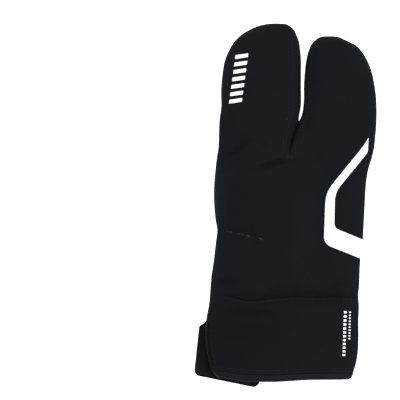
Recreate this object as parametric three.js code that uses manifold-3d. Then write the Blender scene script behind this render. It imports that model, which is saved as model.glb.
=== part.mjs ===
// A right-hand winter mitten with two finger pockets, lying palm down on a flat surface.
// Millimetres. +X points to the little finger side, +Y to the fingertips and +Z up.
// The mitten is one hollow shell of padded cloth that is cut along its seams into panels, with the thumb
// folded under the palm. Tables hold shares of the named sizes, one row for each section.

import * as THREE from "three";
import { mergeVertices } from "three/addons/utils/BufferGeometryUtils.js";
import Module from "manifold-3d";

const wasm = await Module();
wasm.setup();

// Driving dimensions

const wall = 2.5; // padded cloth
const seamGap = 0.3; // clearance between two sewn pieces
const edgeHeight = 0.9; // half the height of the pinched edge at a side seam
const overrun = 12; // how far a cutting shape runs past what it cuts

const cuffLength = 65; // hem to wrist seam
const cuffWidth = 120;
const cuffRise = 11; // top of the cuff above its side seams
const hemWidth = 5.5; // folded hem at the end of the cuff

const handLength = 111.5; // wrist seam to crotch
const handWidth = 118;
const handRise = 14;

const indexPocketLength = 103.5; // crotch to tip
const indexPocketWidth = 62;
const ringPocketLength = 93.5;
const ringPocketWidth = 56;
const pocketRise = 12.5;

const seamHeight = 10; // side seams above the surface that the mitten lies on
const slitWidth = 3.2; // space between the two pockets
const crotchX = 2.4; // foot of the slit, from the middle line
const hemX = -3.2; // middle of the hem, from the middle line
const slitLean = 10.6; // the slit ends this far nearer to the little finger than it starts
const slitLeanLength = 39;
const gussetHeight = 3.2; // half the height of the pockets' inner side walls
const gussetBand = 8; // how much of the index pocket's back the gusset takes
const gussetTuck = 2.4; // the same for the ring pocket
const gussetPoint = 5; // how far the gusset's point reaches below the crotch

const thumbLength = 88;
const thumbWidth = 42;
const thumbThickness = 15.5;
const thumbTurn = THREE.MathUtils.degToRad(14); // leans from +Y to the little finger side
const thumbHoleLength = 34;
const thumbHoleWidth = 27;
const thumbFlange = 2.4; // what stays of the thumb's base beyond its hole, past the wall
const thumbRoomAround = 9; // how far round the thumb the palm stays lifted
const thumbEdge = 0.6; // half the height of its pinched edge
const palmClearance = 0.5; // palm over the thumb, and cuff over the closing tab

const tabLength = 51;
const tabWidth = 45;
const tabThickness = 2.2;
const tabTurn = THREE.MathUtils.degToRad(-9);
const patchLength = 26;
const patchWidth = 30;
const patchThickness = 1.4;

const slitBindingWidth = 2.6; // binding of the cuff's slit, at the thumb side

const stripeThickness = 0.6;
const stripeArm = 6.4; // width of the arm that comes down from the ring pocket
const stripeUpright = 8.2;
const stripeFoot = 14.4; // width of the arm that runs out to the side seam

// Heights along the mitten

const wristY = cuffLength;
const crotchY = wristY + handLength;

// Section tables, from the hem to the fingertips. "along" is a share of the stretch's own length. "left" and
// "right" are shares of its own width, from the middle line, and "full" is a share of its rise.

const cuffSections = [
  { along: 0.0, left: -0.439, right: 0.406, full: 0.8 },
  { along: 0.027, left: -0.462, right: 0.426, full: 0.88 },
  { along: 0.1, left: -0.483, right: 0.439, full: 0.94 },
  { along: 0.2, left: -0.495, right: 0.454, full: 0.98 },
  { along: 0.36, left: -0.514, right: 0.467, full: 1.0 },
  { along: 0.56, left: -0.525, right: 0.471, full: 1.0 },
  { along: 0.76, left: -0.517, right: 0.471, full: 1.0 },
  { along: 0.9, left: -0.501, right: 0.474, full: 0.98 },
  { along: 0.97, left: -0.497, right: 0.471, full: 0.88 },
];
const handSections = [
  { along: 0.02, left: -0.503, right: 0.477, full: 0.74, parted: 0.0 },
  { along: 0.07, left: -0.5, right: 0.483, full: 0.86, parted: 0.0 },
  { along: 0.15, left: -0.495, right: 0.486, full: 0.93, parted: 0.0 },
  { along: 0.27, left: -0.479, right: 0.491, full: 0.98, parted: 0.0 },
  { along: 0.4, left: -0.465, right: 0.508, full: 1.0, parted: 0.03 },
  { along: 0.475, left: -0.456, right: 0.512, full: 1.0, parted: 0.07 },
  { along: 0.56, left: -0.468, right: 0.516, full: 1.0, parted: 0.14 },
  { along: 0.68, left: -0.477, right: 0.522, full: 0.99, parted: 0.28 },
  { along: 0.8, left: -0.476, right: 0.529, full: 0.97, parted: 0.45 },
  { along: 0.9, left: -0.468, right: 0.543, full: 0.95, parted: 0.62 },
  { along: 1.0, left: -0.454, right: 0.571, full: 0.92, parted: 0.8 },
];
// "shy" is how far the pocket's inner edge keeps away from the slit, and "apart" is the slit's own share.
const indexSections = [
  { along: 0.05, width: 0.885, shy: 0.0, apart: 0.3, full: 1.0, parted: 0.88 },
  { along: 0.16, width: 0.944, shy: 0.0, apart: 0.34, full: 1.0, parted: 0.97 },
  { along: 0.26, width: 1.005, shy: 0.0, apart: 0.5, full: 1.0, parted: 1.0 },
  { along: 0.38, width: 0.995, shy: 0.0, apart: 0.95, full: 1.0, parted: 1.0 },
  { along: 0.5, width: 1.0, shy: 0.0, apart: 1.0, full: 1.0, parted: 1.0 },
  { along: 0.615, width: 0.986, shy: 0.0, apart: 1.0, full: 1.0, parted: 1.0 },
  { along: 0.73, width: 0.951, shy: 0.0, apart: 1.0, full: 0.99, parted: 1.0 },
  { along: 0.805, width: 0.887, shy: 0.01, apart: 1.0, full: 0.96, parted: 1.0 },
  { along: 0.866, width: 0.81, shy: 0.025, apart: 1.0, full: 0.91, parted: 1.0 },
  { along: 0.919, width: 0.684, shy: 0.057, apart: 1.0, full: 0.83, parted: 1.0 },
  { along: 0.957, width: 0.548, shy: 0.089, apart: 1.0, full: 0.71, parted: 1.0 },
  { along: 0.983, width: 0.395, shy: 0.139, apart: 1.0, full: 0.54, parted: 1.0 },
  { along: 1.0, width: 0.2, shy: 0.205, apart: 1.0, full: 0.3, parted: 1.0 },
];
const ringSections = [
  { along: 0.055, width: 1.165, shy: 0.0, apart: 0.3, full: 1.0, parted: 0.88 },
  { along: 0.176, width: 1.113, shy: 0.0, apart: 0.34, full: 1.0, parted: 0.97 },
  { along: 0.285, width: 1.053, shy: 0.0, apart: 0.5, full: 1.0, parted: 1.0 },
  { along: 0.37, width: 1.025, shy: 0.0, apart: 0.9, full: 1.0, parted: 1.0 },
  { along: 0.47, width: 1.0, shy: 0.0, apart: 1.0, full: 1.0, parted: 1.0 },
  { along: 0.596, width: 0.972, shy: 0.0, apart: 1.0, full: 0.99, parted: 1.0 },
  { along: 0.722, width: 0.909, shy: 0.015, apart: 1.0, full: 0.97, parted: 1.0 },
  { along: 0.806, width: 0.834, shy: 0.032, apart: 1.0, full: 0.93, parted: 1.0 },
  { along: 0.873, width: 0.738, shy: 0.06, apart: 1.0, full: 0.87, parted: 1.0 },
  { along: 0.924, width: 0.625, shy: 0.093, apart: 1.0, full: 0.79, parted: 1.0 },
  { along: 0.961, width: 0.464, shy: 0.139, apart: 1.0, full: 0.66, parted: 1.0 },
  { along: 1.0, width: 0.2, shy: 0.245, apart: 1.0, full: 0.32, parted: 1.0 },
];
// The thumb, from its base under the palm to its tip. "upper" and "lower" are shares of its thickness.
const thumbSections = [
  { along: 0.0, width: 0.5, middle: 0.7, upper: 0.1, lower: 0.12 },
  { along: 0.04, width: 0.75, middle: 0.73, upper: 0.2, lower: 0.48 },
  { along: 0.12, width: 0.94, middle: 0.74, upper: 0.24, lower: 0.72 },
  { along: 0.25, width: 1.0, middle: 0.7, upper: 0.3, lower: 0.78 },
  { along: 0.4, width: 0.99, middle: 0.64, upper: 0.36, lower: 0.75 },
  { along: 0.55, width: 0.95, middle: 0.56, upper: 0.44, lower: 0.64 },
  { along: 0.7, width: 0.88, middle: 0.52, upper: 0.46, lower: 0.58 },
  { along: 0.83, width: 0.77, middle: 0.5, upper: 0.42, lower: 0.54 },
  { along: 0.92, width: 0.61, middle: 0.5, upper: 0.34, lower: 0.46 },
  { along: 0.98, width: 0.38, middle: 0.5, upper: 0.2, lower: 0.28 },
  { along: 1.0, width: 0.22, middle: 0.5, upper: 0.1, lower: 0.12 },
];
// Folds in the back. "across" is a share of the hand's width from the middle line and "along" a share of
// the hand's length from the wrist seam. "turn" is in degrees from +X, "length" and "width" are shares of
// the hand's width, and "depth" is a share of its rise. A negative depth is a ridge.
const folds = [
  { name: "wrist pinch", across: 0.0, along: 0.0, turn: 0, length: 1.2, width: 0.035, depth: 0.115 },
  { name: "thumb crease", across: -0.33, along: 0.455, turn: -12, length: 0.34, width: 0.04, depth: 0.1 },
  { name: "crotch crease", across: -0.1, along: 0.94, turn: 24, length: 0.3, width: 0.045, depth: 0.105 },
  { name: "knuckle arch", across: -0.28, along: 1.08, turn: 12, length: 0.3, width: 0.05, depth: -0.055 },
  { name: "wrist hollow", across: -0.38, along: 0.1, turn: 4, length: 0.24, width: 0.05, depth: 0.105 },
  { name: "cuff hollow", across: -0.26, along: -0.1, turn: 0, length: 0.36, width: 0.05, depth: 0.095 },
  { name: "hand slope", across: 0.15, along: 0.62, turn: 60, length: 0.5, width: 0.09, depth: 0.07 },
];

// Small helpers

const mix = THREE.MathUtils.lerp;
const ease = (value) => THREE.MathUtils.smoothstep(value, 0, 1);
const columns = 8;
const columnShares = Array.from({ length: columns + 1 }, (_, i) => {
  return 0.5 - 0.5 * Math.cos((Math.PI * i) / columns);
});

// A superellipse arch: 0 at -1 and 1, and 1 in the middle.
function arch(place) {
  const fullness = 2.3;
  return Math.pow(Math.max(0, 1 - Math.pow(Math.abs(place), fullness)), 1 / fullness);
}

// A place on the thumb's own axes: x across it and y along it, from its middle.
const thumbMiddle = new THREE.Vector2(-0.19 * handWidth, wristY + 0.47 * handLength);
function onThumb(x, y) {
  return new THREE.Vector2(x, y).sub(thumbMiddle).rotateAround(new THREE.Vector2(), thumbTurn);
}

// The value of a column of a table at a share of its length.
function inTable(table, column, along) {
  const next = table.findIndex((row) => row.along >= along);
  if (next === 0) return table[0][column];
  if (next < 0) return table.at(-1)[column];
  const share = (along - table[next - 1].along) / (table[next].along - table[next - 1].along);
  return mix(table[next - 1][column], table[next][column], share);
}

// What the palm and the cuff lie on: the surface, the thumb and the closing tab with its patch. The room
// over the tab is whole up to a share of the tab from its middle, and fades out over a second share.
const stackHeight = tabThickness + patchThickness + seamGap;
const tabRoom = { wholeShare: 0.62, fadeShare: 0.24 };
function underlay(x, y) {
  const place = onThumb(x, y);
  const along = place.y / (thumbLength + 2 * thumbRoomAround) + 0.5;
  const side = place.x / (0.5 * thumbWidth * inTable(thumbSections, "width", along) + thumbRoomAround);
  let height = 0;
  if (along > 0 && along < 1 && Math.abs(side) < 1) {
    const middle = inTable(thumbSections, "middle", along);
    const top = middle + inTable(thumbSections, "upper", along) * arch(side);
    height = top * thumbThickness + palmClearance;
  }
  const tab = onTab(x, y);
  const reach = Math.max(Math.abs(tab.x / tabLength - 0.5), Math.abs(tab.y / tabWidth - 0.5));
  const fall = ease((reach - tabRoom.wholeShare) / tabRoom.fadeShare);
  return Math.max(height, (stackHeight + palmClearance) * (1 - fall));
}

// The height of the side seams. The cloth rises over the thumb by a share of its thickness. The lift is
// whole up to a share of the widened thumb from its middle, and fades out over a second share.
const seamLift = { share: 0.86, wholeShare: 0.8, fadeShare: 0.95 };
function seamLevel(x, y) {
  const place = onThumb(x, y);
  const across = place.x / (0.5 * thumbWidth + thumbRoomAround);
  const along = place.y / (0.5 * thumbLength + thumbRoomAround);
  const fall = ease((Math.hypot(across, along) - seamLift.wholeShare) / seamLift.fadeShare);
  return seamHeight + seamLift.share * thumbThickness * (1 - fall);
}

// How deep the back is folded in at a place.
function foldDepth(x, y) {
  let depth = 0;
  for (const fold of folds) {
    const centre = new THREE.Vector2(fold.across * handWidth, wristY + fold.along * handLength);
    const place = new THREE.Vector2(x, y).sub(centre);
    place.rotateAround(new THREE.Vector2(), -THREE.MathUtils.degToRad(fold.turn));
    const across = place.y / (fold.width * handWidth);
    const along = (2 * place.x) / (fold.length * handWidth);
    depth += fold.depth * handRise * Math.exp(-across * across) * (1 - ease(Math.abs(along)));
  }
  return depth;
}

// Sections of the whole mitten in millimetres. Each row has an outer edge and an inner edge for its half.
// "inset" is 0 for the outside of the cloth and the wall for its inside. "draw" is how many insets a row of
// the hollow is drawn back: out past the hem, and back from the pockets' foot and tips.

const footDrawFactor = 2;
function slitAt(y) {
  return crotchX + slitLean * ease((y - crotchY) / slitLeanLength);
}

function trunkRows() {
  const cuff = cuffSections.map((row) => ({
    y: row.along * cuffLength,
    left: row.left * cuffWidth,
    right: row.right * cuffWidth,
    rise: row.full * cuffRise,
    parted: 0,
    draw: row.along === 0 ? overrun / wall : 0,
  }));
  const hand = handSections.map((row) => ({
    y: wristY + row.along * handLength,
    left: row.left * handWidth,
    right: row.right * handWidth,
    rise: row.full * handRise,
    parted: row.parted,
    draw: row.along === 1 ? footDrawFactor : 0,
  }));
  return [...cuff, ...hand];
}

function pocketRows(table, length, width, side) {
  return table.map((row) => {
    const y = crotchY + row.along * length;
    const inner = slitAt(y) + side * (0.5 * row.apart * slitWidth + row.shy * width);
    return {
      y,
      inner,
      outer: inner + side * row.width * width,
      rise: row.full * pocketRise,
      parted: row.parted,
      draw: ease((row.along - 0.7) / 0.3),
    };
  });
}

// One point of the shell, at a share of the way from the outer edge to the inner edge of its half.
function shellPoint(row, outer, inner, isPocket, share, inset, isTop) {
  const side = Math.sign(inner - outer);
  const from = outer + side * inset;
  const to = inner - (isPocket ? side * inset : 0);
  const x = mix(from, to, share);
  const y = row.y - inset * row.draw;
  const pinch = mix(edgeHeight, gussetHeight, Math.pow(share, 4));
  const edge = Math.min(pinch, row.rise) * (inset > 0 ? 0.5 : 1);
  const form = mix(arch(share - 1), arch(2 * share - 1), row.parted);
  const rise = edge + Math.max(row.rise - inset - edge, 0) * form;
  const level = seamLevel(x, y);
  if (isTop) return new THREE.Vector3(x, y, level + rise - form * foldDepth(x, y));
  return new THREE.Vector3(x, y, Math.max(level - rise, underlay(x, y) + inset));
}

// A closed solid between an upper and a lower sheet that share their faces. Faces run counterclockwise.
function between(upper, lower, faces) {
  const count = upper.length;
  const triangles = [];
  const used = new Map();
  for (const face of faces) {
    for (let i = 2; i < face.length; i += 1) {
      triangles.push(face[0], face[i - 1], face[i]);
      triangles.push(face[0] + count, face[i] + count, face[i - 1] + count);
    }
    face.forEach((a, i) => {
      const b = face[(i + 1) % face.length];
      used.set(`${a},${b}`, [a, b]);
    });
  }
  for (const [a, b] of used.values()) {
    if (used.has(`${b},${a}`)) continue;
    triangles.push(a, a + count, b, b, a + count, b + count);
  }
  const geometry = new THREE.BufferGeometry().setFromPoints([...upper, ...lower]);
  geometry.setIndex(triangles);
  return geometry;
}

// Faces between rows of vertex numbers.
function facesBetween(rows) {
  const faces = [];
  for (let i = 1; i < rows.length; i += 1) {
    for (let j = 1; j < rows[i].length; j += 1) {
      faces.push([rows[i - 1][j - 1], rows[i - 1][j], rows[i][j], rows[i][j - 1]]);
    }
  }
  return faces;
}

// The whole mitten without its thumb: its outside with an inset of 0, and its hollow with the wall.
function wholeGeometry(inset) {
  const upper = [];
  const lower = [];
  const add = (row, outer, inner, isPocket, share) => {
    upper.push(shellPoint(row, outer, inner, isPocket, share, inset, true));
    lower.push(shellPoint(row, outer, inner, isPocket, share, inset, false));
    return upper.length - 1;
  };
  const trunk = trunkRows().map((row) => {
    const middle = mix(hemX, crotchX, ease(row.y / crotchY));
    const leftHalf = columnShares.map((share) => add(row, row.left, middle, false, share));
    const rightHalf = columnShares.slice(0, -1).map((share) => add(row, row.right, middle, false, share));
    return [...leftHalf, ...rightHalf.reverse()];
  });
  const indexRows = pocketRows(indexSections, indexPocketLength, indexPocketWidth, -1);
  const ringRows = pocketRows(ringSections, ringPocketLength, ringPocketWidth, 1);
  const across = (row) => columnShares.map((share) => add(row, row.outer, row.inner, true, share));
  const index = indexRows.map((row) => across(row));
  const ring = ringRows.map((row) => across(row).reverse());
  const top = trunk.at(-1);
  const faces = [
    ...facesBetween(trunk),
    ...facesBetween([top.slice(0, columns + 1), ...index]),
    ...facesBetween([top.slice(columns), ...ring]),
  ];
  return between(upper, lower, faces);
}

// Cutting and joining

function solid(geometry) {
  const bare = geometry.clone();
  bare.deleteAttribute("normal");
  bare.deleteAttribute("uv");
  const merged = mergeVertices(bare, 1e-4);
  return new wasm.Manifold(
    new wasm.Mesh({
      numProp: 3,
      vertProperties: new Float32Array(merged.attributes.position.array),
      triVerts: new Uint32Array(merged.index.array),
    }),
  );
}

function geometryOf(shape) {
  const mesh = shape.getMesh();
  const geometry = new THREE.BufferGeometry();
  geometry.setAttribute("position", new THREE.BufferAttribute(mesh.vertProperties, 3));
  geometry.setIndex(new THREE.BufferAttribute(mesh.triVerts, 1));
  return geometry;
}

// An upright block over an outline of [x, y] points.
function prism(outline, bottom, top) {
  const shape = new THREE.Shape(outline.map(([x, y]) => new THREE.Vector2(x, y)));
  const geometry = new THREE.ExtrudeGeometry(shape, { depth: top - bottom, bevelEnabled: false });
  geometry.translate(0, 0, bottom);
  return solid(geometry);
}

const reachX = 0.8 * Math.max(handWidth, cuffWidth, indexPocketWidth + ringPocketWidth) + overrun;
const topY = crotchY + Math.max(indexPocketLength, ringPocketLength) + overrun;
const skyZ = seamHeight + thumbThickness + handRise + pocketRise + overrun;

function band(fromY, toY) {
  const outline = [[-reachX, fromY], [reachX, fromY], [reachX, toY], [-reachX, toY]];
  return prism(outline, -overrun, skyZ);
}

// The room above or below the side seams.
function halfRoom(isUpper) {
  const steps = 18;
  const grid = [];
  const seam = [];
  const end = [];
  for (let i = 0; i <= steps; i += 1) {
    const y = mix(-overrun, topY, i / steps);
    grid.push([]);
    for (let j = 0; j <= steps; j += 1) {
      const x = mix(-reachX, reachX, j / steps);
      grid[i].push(seam.length);
      seam.push(new THREE.Vector3(x, y, seamLevel(x, y) + (isUpper ? 0.5 : -0.5) * seamGap));
      end.push(new THREE.Vector3(x, y, isUpper ? skyZ : -overrun));
    }
  }
  return solid(isUpper ? between(end, seam, facesBetween(grid)) : between(seam, end, facesBetween(grid)));
}

// The upright block that holds the gusset, seen from above. "grow" widens it all round.
const gussetSeams = [
  { along: 0.0, band: 0.62 },
  { along: 0.1, band: 0.9 },
  { along: 0.2, band: 1.0 },
  { along: 0.34, band: 1.0 },
  { along: 0.5, band: 1.0 },
  { along: 0.7, band: 1.0 },
  { along: 0.8, band: 1.0 },
  { along: 0.88, band: 0.95 },
  { along: 0.93, band: 0.7 },
];
const pointGrowFactor = 1.6; // the slanted sides of the point need more than the plain distance
function gussetRoom(grow) {
  const side = (table, length, width, direction, bandWidth) =>
    gussetSeams.map((seam) => {
      const y = crotchY + seam.along * length;
      const inner = 0.5 * slitWidth + inTable(table, "shy", seam.along) * width;
      return [slitAt(y) + direction * (inner + seam.band * bandWidth + grow), y];
    });
  const index = side(indexSections, indexPocketLength, indexPocketWidth, -1, gussetBand);
  const ring = side(ringSections, ringPocketLength, ringPocketWidth, 1, gussetTuck);
  const end = (seam) => [slitAt(seam.at(-1)[1]), seam.at(-1)[1] + grow];
  const point = [crotchX, crotchY - gussetPoint - pointGrowFactor * grow];
  return prism([point, ...ring, end(ring), end(index), ...index.reverse()], -overrun, skyZ);
}

// The room along the cuff's slit, at its thumb side, for the binding.
const slitStations = [0.16, 0.3, 0.45, 0.6, 0.72];
function slitRoom(grow) {
  const edge = slitStations.map((share) => {
    return [inTable(cuffSections, "left", share) * cuffWidth + slitBindingWidth + grow, share * cuffLength];
  });
  edge[0][1] -= grow;
  edge.at(-1)[1] += grow;
  return prism([[-reachX, edge[0][1]], ...edge, [-reachX, edge.at(-1)[1]]], -overrun, skyZ);
}

// The thumb: a soft tube that lies under the palm.

function thumbGeometry(inset) {
  const upper = [];
  const lower = [];
  const rows = thumbSections.map((row) =>
    columnShares.map((share) => {
      const half = 0.5 * thumbWidth * row.width - inset;
      const end = 0.5 * thumbLength - inset;
      const place = new THREE.Vector2(mix(-half, half, share), mix(-end, end, row.along));
      place.rotateAround(new THREE.Vector2(), -thumbTurn).add(thumbMiddle);
      const form = arch(2 * share - 1);
      const edge = thumbEdge * (inset > 0 ? 0.5 : 1);
      const rise = (amount) => edge + Math.max(amount * thumbThickness - edge - inset, 0) * form;
      const middle = row.middle * thumbThickness;
      upper.push(new THREE.Vector3(place.x, place.y, middle + rise(row.upper)));
      lower.push(new THREE.Vector3(place.x, place.y, Math.max(middle - rise(row.lower), inset)));
      return upper.length - 1;
    }),
  );
  return between(upper, lower, facesBetween(rows));
}

// The room above or below the thumb's own side seams.
function thumbRoom(isUpper) {
  const [base, tip] = [thumbSections[0], thumbSections.at(-1)];
  const rows = [{ along: -0.2, middle: base.middle }, ...thumbSections, { along: 1.2, middle: tip.middle }];
  const seam = [];
  const end = [];
  const grid = rows.map((row) =>
    [-1, 1].map((side) => {
      const place = new THREE.Vector2(side * thumbWidth, (row.along - 0.5) * thumbLength);
      place.rotateAround(new THREE.Vector2(), -thumbTurn).add(thumbMiddle);
      const level = row.middle * thumbThickness + (isUpper ? 0.5 : -0.5) * seamGap;
      seam.push(new THREE.Vector3(place.x, place.y, level));
      end.push(new THREE.Vector3(place.x, place.y, isUpper ? skyZ : -overrun));
      return seam.length - 1;
    }),
  );
  return solid(isUpper ? between(end, seam, facesBetween(grid)) : between(seam, end, facesBetween(grid)));
}

// The oval hole that leads from the hand into the thumb. It is cut from inside the thumb up to the hollow of
// the hand, and both ends are shares of the thumb's thickness.
const thumbHoleEnds = { bottomShare: 0.55, topShare: 0.72 };
function thumbHole() {
  const sides = 20;
  const baseY = -0.5 * thumbLength + wall + thumbFlange + 0.5 * thumbHoleLength;
  const outline = Array.from({ length: sides }, (_, i) => {
    const angle = (2 * Math.PI * i) / sides;
    const place = new THREE.Vector2(
      0.5 * thumbHoleWidth * Math.cos(angle),
      baseY + 0.5 * thumbHoleLength * Math.sin(angle),
    );
    place.rotateAround(new THREE.Vector2(), -thumbTurn).add(thumbMiddle);
    return [place.x, place.y];
  });
  const bottom = thumbHoleEnds.bottomShare * thumbThickness;
  return prism(outline, bottom, seamHeight + thumbHoleEnds.topShare * thumbThickness);
}

// The closing tab lies under the cuff and looks out at the thumb side and below the hem.

const tabCorner = new THREE.Vector2(-0.6 * cuffWidth, 0.09 * cuffLength);
function onTab(x, y) {
  return new THREE.Vector2(x, y).sub(tabCorner).rotateAround(new THREE.Vector2(), -tabTurn);
}
function fromTab(along, across) {
  const place = new THREE.Vector2(along * tabLength, across * tabWidth);
  return place.rotateAround(new THREE.Vector2(), tabTurn).add(tabCorner);
}

function tabSolid() {
  const outline = [
    { along: 0.05, across: 0.0 },
    { along: 0.93, across: 0.0 },
    { along: 1.0, across: 0.06 },
    { along: 1.0, across: 0.9 },
    { along: 0.94, across: 0.98 },
    { along: 0.24, across: 1.14 },
    { along: 0.13, across: 1.1 },
    { along: 0.0, across: 0.82 },
    { along: 0.0, across: 0.06 },
  ];
  return prism(outline.map((corner) => fromTab(corner.along, corner.across).toArray()), 0, tabThickness);
}

const patchMiddle = { alongShare: 0.62, acrossShare: 0.5 };
function patchSolid() {
  const alongHalf = (0.5 * patchLength) / tabLength;
  const acrossHalf = (0.5 * patchWidth) / tabWidth;
  const corners = [[-1, -1], [1, -1], [1, 1], [-1, 1]];
  const outline = corners.map(([a, b]) => {
    const along = patchMiddle.alongShare + a * alongHalf;
    return fromTab(along, patchMiddle.acrossShare + b * acrossHalf).toArray();
  });
  const bottom = tabThickness + seamGap;
  return prism(outline, bottom, bottom + patchThickness);
}

// The reflective stripe lies on the back: down from the ring pocket, upright, and out to the side seam.
// "across" is a share of the hand's width from the middle line and "along" of the hand's length.
const stripePath = [
  { across: 0.59, along: 1.125 },
  { across: 0.296, along: 0.749 },
  { across: 0.29, along: 0.439 },
  { across: 0.56, along: 0.318 },
];
const stripeWidths = [stripeArm, stripeUpright, stripeFoot];

// The outline of a bent band with mitred corners.
function bentBand(path, widths) {
  const points = path.map((p) => new THREE.Vector2(p.across * handWidth, wristY + p.along * handLength));
  const edge = (side) => {
    const lines = widths.map((width, i) => {
      const way = points[i + 1].clone().sub(points[i]).normalize();
      const shift = new THREE.Vector2(-way.y, way.x).multiplyScalar(0.5 * side * width);
      return { from: points[i].clone().add(shift), to: points[i + 1].clone().add(shift), way };
    });
    const corners = lines.slice(1).map((line, i) => {
      const before = lines[i];
      const gap = line.from.clone().sub(before.from);
      const distance = gap.cross(line.way) / before.way.cross(line.way);
      return before.from.clone().addScaledVector(before.way, distance);
    });
    return [lines[0].from, ...corners, lines.at(-1).to];
  };
  return [...edge(1), ...edge(-1).reverse()].map((corner) => corner.toArray());
}

// The build

const outside = solid(wholeGeometry(0));
const shell = outside.subtract(solid(wholeGeometry(wall)));
const upperRoom = halfRoom(true);
const lowerRoom = halfRoom(false);
const halfGap = 0.5 * seamGap;
const hemRoom = band(-overrun, hemWidth - halfGap);
const cuffRoom = band(hemWidth + halfGap, wristY - halfGap);
const handRoom = band(wristY + halfGap, topY);
const handShell = shell.intersect(handRoom).subtract(gussetRoom(seamGap));
const cuffUpper = shell.intersect(cuffRoom).intersect(upperRoom);
const thumbShell = solid(thumbGeometry(0)).subtract(solid(thumbGeometry(wall)));
const raised = (height) => solid(wholeGeometry(0).translate(0, 0, height));
const skin = raised(seamGap + stripeThickness).subtract(raised(seamGap));
const stripeRoom = prism(bentBand(stripePath, stripeWidths), 0, skyZ).intersect(upperRoom);

const pieces = {
  back_panel: ["shell", handShell.intersect(upperRoom)],
  palm_panel: ["palm", handShell.intersect(lowerRoom).subtract(thumbHole())],
  finger_gusset: ["gusset", shell.intersect(gussetRoom(0))],
  thumb_top: ["palm", thumbShell.intersect(thumbRoom(true)).subtract(thumbHole())],
  thumb_bottom: ["palm", thumbShell.intersect(thumbRoom(false))],
  cuff_back: ["shell", cuffUpper.subtract(slitRoom(seamGap))],
  cuff_palm: ["shell", shell.intersect(cuffRoom).intersect(lowerRoom)],
  slit_binding: ["binding", cuffUpper.intersect(slitRoom(0))],
  hem_back: ["binding", shell.intersect(hemRoom).intersect(upperRoom)],
  hem_palm: ["binding", shell.intersect(hemRoom).intersect(lowerRoom)],
  closing_tab: ["strap", tabSolid()],
  hook_and_loop_patch: ["hook", patchSolid()],
  reflective_stripe: ["reflective", skin.intersect(stripeRoom).subtract(gussetRoom(seamGap))],
};

const materials = {
  shell: { color: 0x1b1d21, roughness: 0.82, metalness: 0 },
  palm: { color: 0x1a1b1d, roughness: 0.7, metalness: 0 },
  gusset: { color: 0x222225, roughness: 0.85, metalness: 0 },
  binding: { color: 0x242528, roughness: 0.8, metalness: 0 },
  strap: { color: 0x2a2b2c, roughness: 0.75, metalness: 0 },
  hook: { color: 0x141414, roughness: 0.9, metalness: 0 },
  reflective: { color: 0xf2f2f4, roughness: 0.45, metalness: 0 },
};

const mitten = new THREE.Group();
for (const [name, [material, shape]] of Object.entries(pieces)) {
  const mesh = new THREE.Mesh(geometryOf(shape), new THREE.MeshStandardMaterial(materials[material]));
  mesh.name = name;
  mitten.add(mesh);
}

// The origin is the middle of the base.
const box = new THREE.Box3().setFromObject(mitten);
const middle = box.getCenter(new THREE.Vector3());
mitten.position.set(-middle.x, -middle.y, -box.min.z);

export default mitten;
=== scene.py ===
# %% [markdown]
# # A winter mitten with two finger pockets
# The real object is a right-hand winter mitten for cycling. It lies palm down with the thumb folded under
# the palm. Its black softshell is padded, so every panel is a soft wall 2.5 mm thick, sewn to its
# neighbours. The file works the whole outside out as one height over the table, z for each x and y, and
# then cuts that one surface into panels along the seams. This way neighbouring panels always meet, as sewn
# cloth does.

# %% Load the fixed frame
import math

import bmesh
import bpy
import numpy as np
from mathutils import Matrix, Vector, noise


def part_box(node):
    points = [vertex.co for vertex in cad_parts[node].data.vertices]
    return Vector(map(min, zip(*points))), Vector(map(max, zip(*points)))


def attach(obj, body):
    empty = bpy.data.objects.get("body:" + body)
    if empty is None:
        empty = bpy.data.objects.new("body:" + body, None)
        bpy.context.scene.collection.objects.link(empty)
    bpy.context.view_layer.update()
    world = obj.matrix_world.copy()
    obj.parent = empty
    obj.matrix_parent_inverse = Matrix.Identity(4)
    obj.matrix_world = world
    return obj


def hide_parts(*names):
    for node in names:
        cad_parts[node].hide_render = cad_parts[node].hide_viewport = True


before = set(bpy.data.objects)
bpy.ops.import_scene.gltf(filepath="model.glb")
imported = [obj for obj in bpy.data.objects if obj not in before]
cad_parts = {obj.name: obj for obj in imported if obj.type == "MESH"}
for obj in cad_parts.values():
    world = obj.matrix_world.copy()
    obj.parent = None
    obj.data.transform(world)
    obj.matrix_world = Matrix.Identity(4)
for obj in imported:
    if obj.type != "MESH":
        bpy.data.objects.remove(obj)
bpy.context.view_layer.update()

# %% [markdown]
# ## Sizes
# The pattern is drawn in millimetres with the hem at y = 0, and made metres at the end. Most of the named
# sizes are those of the solids. The tables and the tab's corners are fitted to the photographed outline a
# little closer, by up to about two millimetres, and the wrist seam and the lower edge of the tab by up to
# about three. A table row is one station along the mitten, and its lengths are shares of the named sizes,
# as on a sewing pattern that is graded to all sizes.

# %% Sizes of the mitten
# In millimetres. A rise is the height of the padded back over its side seams.
MM = 0.001
WALL = 2.5
SEAM_GAP = 0.3
SEWN_GAP = 0.04
CUFF_LENGTH, CUFF_WIDTH, CUFF_RISE = 65.0, 120.0, 11.0
HEM_WIDTH = 5.5
HAND_LENGTH, HAND_WIDTH, HAND_RISE = 111.5, 118.0, 14.0
INDEX_LENGTH, INDEX_WIDTH = 103.5, 62.0
RING_LENGTH, RING_WIDTH = 93.5, 56.0
POCKET_RISE = 12.5
SEAM_HEIGHT = 10.0
EDGE_HEIGHT = 0.9
SLIT_WIDTH, SLIT_LEAN, SLIT_LEAN_LENGTH = 3.2, 10.6, 43.0
CROTCH_X, HEM_X = 2.4, -3.2
GUSSET_HEIGHT, GUSSET_BAND, GUSSET_TUCK, GUSSET_POINT = 3.2, 8.0, 2.4, 2.2
THUMB_LENGTH, THUMB_WIDTH, THUMB_THICKNESS = 88.0, 42.0, 15.5
THUMB_TURN = math.radians(14)
THUMB_ROOM, PALM_CLEARANCE = 9.0, 0.5
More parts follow.
